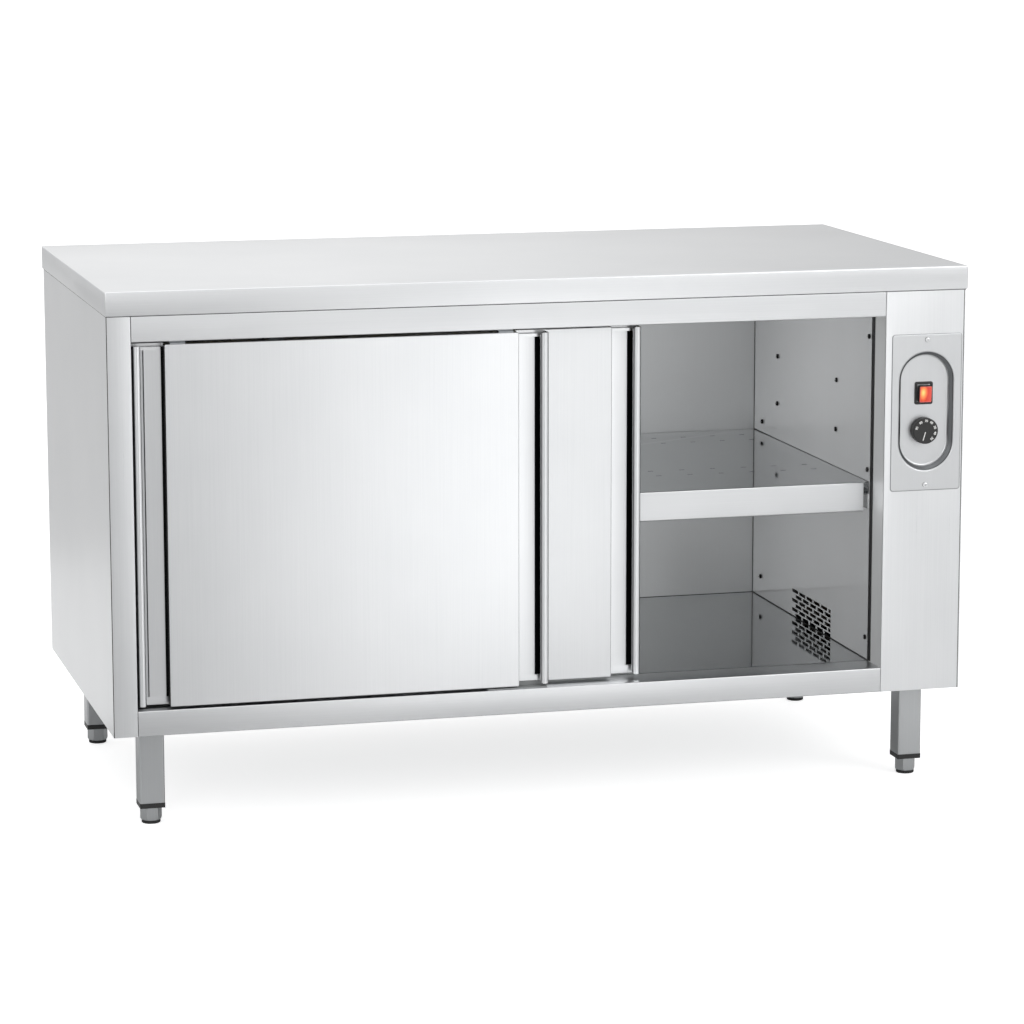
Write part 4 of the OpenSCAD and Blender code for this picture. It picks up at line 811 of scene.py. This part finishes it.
# %% [markdown]
# ## Screws
# Two screws hold the control plate and ten hold the heater wall and the fan. They are pan heads
# with a cross recess. One head is turned from its section, the cross is cut into it, and the
# result is copied to each place with its own turn, because no two screws stop at the same angle.
# The heads on the heater wall are drawn taller, and the rims of all heads are painted near black, a painted
# shade, so that they show from the side as dark dots.

# %% Screws
PLATE_SCREW_RISE, TALLER = 118.5, 1.8
WALL_SCREWS = [(y, z) for y in (-272.0, 270.0) for z in (231.0, 510.5, 730.0)]
FAN_SCREWS = [(y, z) for y in (-116.5, 188.5) for z in (554.5, 637.5)]


def turned(bm, section, steps=32):
    """Turns a section of (radius, height) pairs round Z."""
    angles = [2 * math.pi * k / steps for k in range(steps)]
    tube(bm, [[Vector((r * math.cos(a), r * math.sin(a), z)) * MM for a in angles] for r, z in section])


def make_screws():
    head = bmesh.new()
    dome = [(4.0 * math.cos(math.radians(a)), 0.9 + 1.3 * math.sin(math.radians(a)))
            for a in range(0, 90, 15)]
    turned(head, [(2.0, -7.0), (2.0, 0.0), (3.8, 0.0), (4.0, 0.2)] + dome + [(0.4, 2.2)])
    one = piece("screw_pattern", head, [screw_steel], "cabinet", [], 0)
    for half_x, half_y in ((2.1, 0.45), (0.45, 2.1)):
        cross = bmesh.new()
        flange(cross, (-half_x, -half_y, 0.9), (half_x, half_y, 3.0))
        cut(one, cross)
    wall_x = mm_box("liner_right")[0].x
    places = [((PANEL_X, plate_low.y, PANEL_Z + s * PLATE_SCREW_RISE), False) for s in (-1, 1)]
    places += [((wall_x, y, z), True) for y, z in WALL_SCREWS + FAN_SCREWS]
    forward, leftward = Matrix.Rotation(math.pi / 2, 4, "X"), Matrix.Rotation(-math.pi / 2, 4, "Y")
    bm = bmesh.new()
    for k, (place, on_wall) in enumerate(places):
        copy = one.data.copy()
        if on_wall:
            copy.transform(Matrix.Diagonal((1.0, 1.0, TALLER, 1.0)))
        aim = (leftward if on_wall else forward) @ Matrix.Rotation(0.35 + 1.1 * k, 4, "Z")
        copy.transform(Matrix.Translation(Vector(place) * MM) @ aim)
        bm.from_mesh(copy)
        bpy.data.meshes.remove(copy)
    bpy.data.objects.remove(one)
    made = piece("pan_head_screws", bm, [screw_steel, screw_rim_shade], "cabinet", ["panel_screws"],
                 0, 40)
    # the rim of each head is painted near black, a painted shade
    for face in made.data.polygons:
        on_wall = face.center.x < (wall_x + 8) * MM
        if abs(face.normal.x if on_wall else face.normal.y) < (0.93 if on_wall else 0.5):
            face.material_index = 1


make_screws()

# %% [markdown]
# ## Switch frame and rocker
# The frame is black plastic with round corners and a raised, softly rounded rim. The rocker is a
# black cap with a clear red lens let into its front. Both are stacks of rounded rectangles, and the
# front of the lens is hollowed a little from top to bottom, so that a finger finds the middle. The
# rocker is built upright round its pivot and then tipped as it rests.

# %% Switch
def stack(bm, layers, place):
    """Skins a stack of rounded rectangles (width, height, corner, depth) and closes both ends."""
    return tube(bm, [[place(p, depth) for p in rounded_ring(w, h, r)] for w, h, r, depth in layers])


PLATE_FLOOR = mm_box("switch_body")[0].y + 2.0
SWITCH = Vector((PANEL_X, PLATE_FLOOR, PANEL_Z + 30.0))
LENS_FRONT, LENS_DIP, TIP = -11.9, 0.8, 5
RING_FACES = 4 * (BEND_STEPS + 1)


def make_switch_frame():
    def place(p, depth):
        return Vector((SWITCH.x + p.x, SWITCH.y + depth, SWITCH.z + p.y)) * MM

    bm = bmesh.new()
    stack(bm, [(27, 33, 1.0, 24), (27, 33, 1.0, 0), (31, 37, 3.2, 0), (31, 37, 3.2, -1.2),
               (30.4, 36.4, 3.0, -1.8), (29.2, 35.2, 2.6, -2.0), (23.4, 29.2, 1.6, -2.0),
               (23.0, 28.8, 1.4, -1.6), (23.0, 28.8, 1.4, 5.0)], place)
    for x in (SWITCH.x - 8, SWITCH.x + 8):
        flange(bm, (x - 3.15, SWITCH.y + 24, SWITCH.z - 0.8), (x + 3.15, SWITCH.y + 32, SWITCH.z))
    piece("switch_frame", bm, [black_plastic], "cabinet", ["switch_body"], 0, 30)


def make_rocker():
    pivot = Matrix.Translation(Vector((SWITCH.x, SWITCH.y + 1.0, SWITCH.z)) * MM)
    tip = pivot @ Matrix.Rotation(math.radians(TIP), 4, "X")

    def place(p, depth):
        on_front = -12.0 < depth < -11.85
        return tip @ (Vector((p.x, depth + on_front * LENS_DIP * (1 - (p.y / 12.2) ** 2), p.y)) * MM)

    bm = bmesh.new()
    stack(bm, [(18, 20, 1.0, 2.5), (18, 20, 1.0, -4.7), (22, 27.6, 2.6, -4.7), (22, 27.6, 2.6, -10.9),
               (21.6, 27.2, 2.4, -11.2), (20.6, 26.2, 2.0, -11.2), (20.6, 26.2, 2.0, -9.6)], place)
    lens = [(20.4, 26.0, 1.9, -9.8), (20.4, 26.0, 1.9, -11.8), (19.8, 25.4, 1.7, -12.2),
            (18.4, 24.0, 1.2, -12.2), (17.8, 23.4, 1.0, -11.84)]
    lens += [(17.8 - 2.8 * k, 23.4 - 2.8 * k, max(1.0 - 0.3 * k, 0.05), LENS_FRONT) for k in range(1, 7)]
    for k, face in enumerate(stack(bm, lens, place)):
        face.material_index = 2 if 1 <= k // RING_FACES <= 2 else 1
    piece("rocker_cap", bm, [rocker_black, lamp_red, lamp_rim], "rocker", ["switch_rocker"],
          0, 30)


make_switch_frame()
make_rocker()

# %% [markdown]
# ## The knob
# A low drum of charcoal plastic, turned from its section. The numbers and the line are printed in
# white: they are short text curves made into meshes, a tenth of a millimetre thick, and each number
# stands with its foot toward the middle, so that it reads upright when it is turned to the mark.

# %% Knob
knob_low, knob_high = mm_box("control_knob")
KNOB = Vector(((knob_low.x + knob_high.x) / 2, knob_low.y, (knob_low.z + knob_high.z) / 2))
NUMBERS = (("30", 140), ("40", 104.6), ("50", 70.7), ("60", 35.4), ("70", 2), ("80", 327.6), ("90", 288))
NUMBER_HIGH, NUMBER_AT, LINE_AT, LINE_ANGLE = 5.4, 16.3, 9.0, 197


def make_knob():
    r, h, edge_r = (knob_high.x - knob_low.x) / 2, knob_high.y - knob_low.y, 1.4
    edge = [(r - 0.25 - edge_r + x, h - edge_r + y) for x, y in quarter(edge_r, 0)]
    section = [(r - 2.5, 0.0), (r - 0.4, 0.0), (r, 0.4), (r, h * 0.45)] + edge
    section += [(r - 3.0, h), (6.0, h - 0.25)]
    bm = bmesh.new()
    turned(bm, section, 96)
    for vert in bm.verts:
        x, y, z = vert.co
        vert.co = Vector((KNOB.x * MM + x, knob_high.y * MM - z, KNOB.z * MM + y))
    piece("dial_knob", bm, [knob_plastic], "knob", ["control_knob"], 0, 40)


def print_on_knob(name, mesh, angle, radius):
    """Lays a flat mesh, drawn in X and Y, on the knob's face at an angle clockwise from the top."""
    turn = Matrix.Rotation(math.radians(angle), 4, "Y")
    stand = Matrix.Rotation(math.pi / 2, 4, "X")
    at = Matrix.Translation(Vector((KNOB.x, KNOB.y - 0.02, KNOB.z)) * MM)
    mesh.transform(at @ turn @ Matrix.Translation(Vector((0, 0, radius)) * MM) @ stand)
    mesh.materials.clear()
    mesh.materials.append(white_print)
    made = show(name, mesh)
    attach(made, "knob")


def make_number(value):
    curve = bpy.data.curves.new("number", "FONT")
    curve.body, curve.size = value, NUMBER_HIGH * MM
    curve.extrude, curve.offset = 0.05 * MM, 0.1 * MM
    curve.align_x, curve.align_y = "CENTER", "CENTER"
    writer = show("writer", curve)
    bpy.context.view_layer.update()
    mesh = bpy.data.meshes.new_from_object(writer.evaluated_get(bpy.context.evaluated_depsgraph_get()))
    bpy.data.objects.remove(writer)
    return mesh


def make_line():
    mark = bmesh.new()
    outline = rounded_ring(1.3, 14.5, 0.6, 4)
    tube(mark, [[Vector((p.x, p.y, z)) * MM for p in outline] for z in (-0.05, 0.05)])
    bmesh.ops.recalc_face_normals(mark, faces=mark.faces)
    mesh = bpy.data.meshes.new("dial_line")
    mark.to_mesh(mesh)
    mark.free()
    return mesh


make_knob()
for value, angle in NUMBERS:
    print_on_knob("dial_number_" + value, make_number(value), angle, NUMBER_AT)
print_on_knob("dial_line", make_line(), LINE_ANGLE, LINE_AT)
print("dial printed")

# %% [markdown]
# ## Legs
# Square tube with rounded corners, welded to a plate under the bottom panel. The tube is a stack of
# rounded rectangles that goes down inside, round the rim and up outside, so its wall has a real edge.

# %% Legs
def make_legs():
    low, high = mm_box("legs")
    plate_t, plate_w, tube_w, bore, edge = 3.0, 80, 40, 37, 0.3
    tube_top = high.z - plate_t
    bm = bmesh.new()
    for sx in (-1, 1):
        for sy in (-1, 1):
            x, y = sx * (high.x - plate_w / 2), sy * (high.y - plate_w / 2)

            def place(p, z):
                return Vector((x + p.x, y + p.y, z)) * MM

            wall = [(bore, 2.0, tube_top), (bore, 2.0, low.z + edge), (bore + 2 * edge, 2.3, low.z),
                    (tube_w - 2 * edge, 3.2, low.z), (tube_w, 3.5, low.z + edge), (tube_w, 3.5, tube_top)]
            quads(bm, [[place(p, z) for p in rounded_ring(w, w, r)] for w, r, z in wall + wall[:1]])
            stack(bm, [(plate_w, plate_w, 4.0, tube_top), (plate_w, plate_w, 4.0, high.z)], place)
    piece("square_tube_legs", bm, [leg_steel], "cabinet", ["legs"], 0, 30)


make_legs()

# %% [markdown]
# ## Studio: floor and surround
# A large white floor and a white surround. The floor's own light is for the camera alone: it lifts
# the floor to the white of a catalogue page and leaves the soft shadow under the cabinet, while
# the cabinet gets no light from it. The surround is full white to the camera, to mirrors and to
# glass, and a little weaker where it lights the cabinet.

# %% Floor and surround
FLOOR_HALF, FLOOR_LIFT, SURROUND_LIGHT = 60.0, 0.68, 0.7


def studio_floor():
    mesh = bpy.data.meshes.new("studio_floor")
    mesh.from_pydata([(x * FLOOR_HALF, y * FLOOR_HALF, 0) for x, y in ((-1, -1), (1, -1), (1, 1), (-1, 1))],
                     [], [(0, 1, 2, 3)])
    floor = show("studio_floor", mesh)
    mat, shader = blank("white_floor", roughness=0.9, base_color=linear("#EFEFEF"),
                        emission_color=(1, 1, 1, 1))
    seen = add(mat, "LightPath").outputs["Is Camera Ray"]
    plug(mat, shader, emission_strength=between(mat, 0.0, FLOOR_LIFT, seen))
    mesh.materials.append(mat)


studio_floor()
world = bpy.data.worlds.new("white_surround")
world.use_nodes = True
bpy.context.scene.world = world
surround = world.node_tree.nodes["Background"]
path = add(world, "LightPath").outputs
eye = add(world, "Math", {0: path["Is Camera Ray"], 1: path["Is Glossy Ray"]}, operation="MAXIMUM")
eye = add(world, "Math", {0: eye.outputs[0], 1: path["Is Transmission Ray"]}, operation="MAXIMUM")
world.node_tree.links.new(between(world, SURROUND_LIGHT, 1.0, eye.outputs[0]), surround.inputs["Strength"])
surround.inputs["Color"].default_value = (1, 1, 1, 1)
bpy.context.scene.view_settings.view_transform = "Standard"
print("floor and surround made")

# %% [markdown]
# ## Studio: lamps
# Three soft boxes stand in front and above. The key is at the front right, because in the
# photograph the doors grow brighter toward the right. Two small fills inside show the heater wall,
# as an open cabinet in a studio gets light from a card, and mirrors don't see them. A low panel on
# the floor at the back left is mirrored by the left side panel as a faint bright band.

# %% Lamps
def area_lamp(name, matrix, size, watts, to_mirrors=True):
    light = bpy.data.lights.new(name, "AREA")
    light.shape, light.energy = "RECTANGLE", watts
    light.size, light.size_y = size
    lamp = show(name, light)
    lamp.matrix_world = matrix
    lamp.visible_camera = False
    lamp.visible_glossy = to_mirrors


def toward(place, aim):
    turn = (Vector(aim) - Vector(place)).to_track_quat("-Z", "Y").to_matrix().to_4x4()
    return Matrix.Translation(place) @ turn


area_lamp("key_right", toward((3.2, -4.2, 2.6), (0.2, 0, 0.5)), (2.6, 2.6), 60)
area_lamp("top", toward((0, -0.5, 4.5), (0, 0, 0.8)), (4, 3), 30)
area_lamp("front_left", toward((-2.2, -4.0, 1.6), (0.4, 0, 0.5)), (1.6, 1.6), 20)
GLOW_SIZE, GLOW_LEVEL = (0.5, 1.6), 0.22
area_lamp("side_glow", Matrix.Translation((-0.95, 1.15, 0.01)) @ Matrix.Rotation(math.pi, 4, "X"),
          GLOW_SIZE, GLOW_LEVEL * math.pi * GLOW_SIZE[0] * GLOW_SIZE[1])
for height, watts in ((0.64, 1.9), (0.34, 1.5)):
    area_lamp("inner_fill", toward((0.1, -0.1, height), (0.56, -0.1, height)), (0.3, 0.2), watts, False)
print("lamps made")

# %% [markdown]
# ## Studio: cards for the mirrors
# Steel shows what stands round it. In the photograph the doors mirror a bright band in front and
# darker ground at the sides, and the worktop mirrors a wall that turns grey toward the right. Here
# three see-through cards do that. Only mirrors see them: they throw no shadow and light nothing.
# A card mixes in grey paper by a share that follows the place on the card, and the two in front
# add light by another. For those two the place is first turned into the place on the cabinet's
# front that mirrors it, so that a band can be set where the photograph has it.

# %% Helpers for cards
FRONT_Y, EYE_AWAY, EYE_SLANT = -0.343, 5.69, 0.274


def fade(mat, source, start, end, low, high):
    """A soft change from one level to another between two places."""
    ramp = add(mat, "MapRange", {"Value": source, "From Min": start, "From Max": end, "To Min": low,
                                 "To Max": high}, interpolation_type="SMOOTHERSTEP")
    return ramp.outputs["Result"]


def front_place(mat, place):
    """The place on the cabinet's front, in metres from its middle, that mirrors this place of the studio."""
    away = add(mat, "Math", {0: place["Y"], 1: -1.0, 2: FRONT_Y}, operation="MULTIPLY_ADD").outputs[0]
    spread = add(mat, "Math", {0: away, 1: 1 / EYE_AWAY, 2: 1.0}, operation="MULTIPLY_ADD").outputs[0]
    centre = add(mat, "Math", {0: away, 1: EYE_SLANT}, operation="MULTIPLY").outputs[0]
    beside = add(mat, "Math", {0: place["X"], 1: centre}, operation="SUBTRACT").outputs[0]
    return add(mat, "Math", {0: beside, 1: spread}, operation="DIVIDE").outputs[0]


def from_middle(mat, place, middle):
    beside = add(mat, "Math", {0: front_place(mat, place), 1: middle}, operation="SUBTRACT").outputs[0]
    return add(mat, "Math", {0: beside}, operation="ABSOLUTE").outputs[0]


def mirror_card(name, corners, grey, glow=None):
    """A card that only mirrors see. grey gives its share and its level, and glow the light it adds."""
    mesh = bpy.data.meshes.new(name)
    mesh.from_pydata(corners, [], [(0, 1, 2, 3)])
    card = show(name, mesh)
    mat = bpy.data.materials.new(name + "_light")
    mat.use_nodes = True
    mat.node_tree.nodes.clear()
    place = add(mat, "SeparateXYZ", {0: add(mat, "TexCoord").outputs["Object"]}).outputs
    share, level = grey(mat, place)
    paper = add(mat, "Emission", {"Strength": level}).outputs[0]
    clear = add(mat, "BsdfTransparent").outputs[0]
    look = add(mat, "MixShader", {"Fac": share, 1: clear, 2: paper}).outputs[0]
    if glow:
        light = add(mat, "Emission", {"Strength": glow(mat, place)}).outputs[0]
        look = add(mat, "AddShader", {0: look, 1: light}).outputs[0]
    add(mat, "OutputMaterial", {"Surface": look})
    mesh.materials.append(mat)
    card.visible_camera = card.visible_shadow = card.visible_diffuse = False
    print(name, "stands")


print("a metre of card, a metre in front, fills", round(1 / (1 + 1 / EYE_AWAY), 2), "m of the front")

# %% [markdown]
# ## The three cards
# The floor card lies in front: its band brightens the lower front and fades to both sides. The
# upright card stands eight metres away behind the camera and does the same for the upper front.
# The back card stands three metres behind the cabinet, white at the left and grey at the right,
# and gives the worktop its slow change of tone from one end to the other.

# %% Cards
def floor_glow(mat, place):
    band = fade(mat, from_middle(mat, place, -0.03), 0.0, 0.55, 1.0, 0.0)
    start = fade(mat, place["Y"], -0.7, -1.9, 0.0, 1.0)
    level = fade(mat, place["Y"], -2.0, -8.0, 0.8, 1.1)
    patch = add(mat, "Math", {0: band, 1: start}, operation="MULTIPLY").outputs[0]
    return add(mat, "Math", {0: patch, 1: level}, operation="MULTIPLY").outputs[0]


def floor_grey(mat, place):
    return fade(mat, front_place(mat, place), -0.35, -0.75, 0.0, 1.0), 0.56


def upright_glow(mat, place):
    band = fade(mat, from_middle(mat, place, 0.1), 0.0, 0.4, 1.0, 0.0)
    rise = fade(mat, place["Z"], 1.5, 4.0, 1.0, 0.0)
    return add(mat, "Math", {0: band, 1: rise}, operation="MULTIPLY").outputs[0]


def upright_grey(mat, place):
    return fade(mat, from_middle(mat, place, 0.1), 0.25, 0.65, 0.0, 1.0), 0.82


def back_grey(mat, place):
    return 1.0, fade(mat, place["X"], 0.0, 2.8, 1.03, 0.66)


mirror_card("floor_card", [(-3, -0.6, 0.012), (7, -0.6, 0.012), (7, -12, 0.012), (-3, -12, 0.012)],
            floor_grey, floor_glow)
mirror_card("upright_card", [(-3, -8, 0.02), (7, -8, 0.02), (7, -8, 4.0), (-3, -8, 4.0)],
            upright_grey, upright_glow)
mirror_card("back_card", [(-0.9, 3.5, 0.02), (4.5, 3.5, 0.02), (4.5, 3.5, 2.6), (-0.9, 3.5, 2.6)], back_grey)

# %% [markdown]
# ## Camera
# A long lens, 133 mm on a 36 mm wide frame, stands six metres away, a little to the left and
# above. It was found by fitting a camera to the corners and the legs of the cabinet.

# %% Camera
YAW, PITCH, ROLL = 0.2573, 0.1748, 0.0013
EYE = (-1.5577, -6.0391, 1.5209)
lens = bpy.data.cameras.new("photo_camera")
lens.lens, lens.sensor_width, lens.clip_end = 133.2, 36.0, 200.0
camera = show("photo_camera", lens)
level_view = Matrix.Rotation(-YAW, 4, "Z") @ Matrix.Rotation(math.pi / 2 - PITCH, 4, "X")
camera.matrix_world = Matrix.Translation(EYE) @ level_view @ Matrix.Rotation(-ROLL, 4, "Z")
bpy.context.scene.camera = camera
print("camera", round(Vector(EYE).length, 2), "m from the floor under the cabinet's middle")
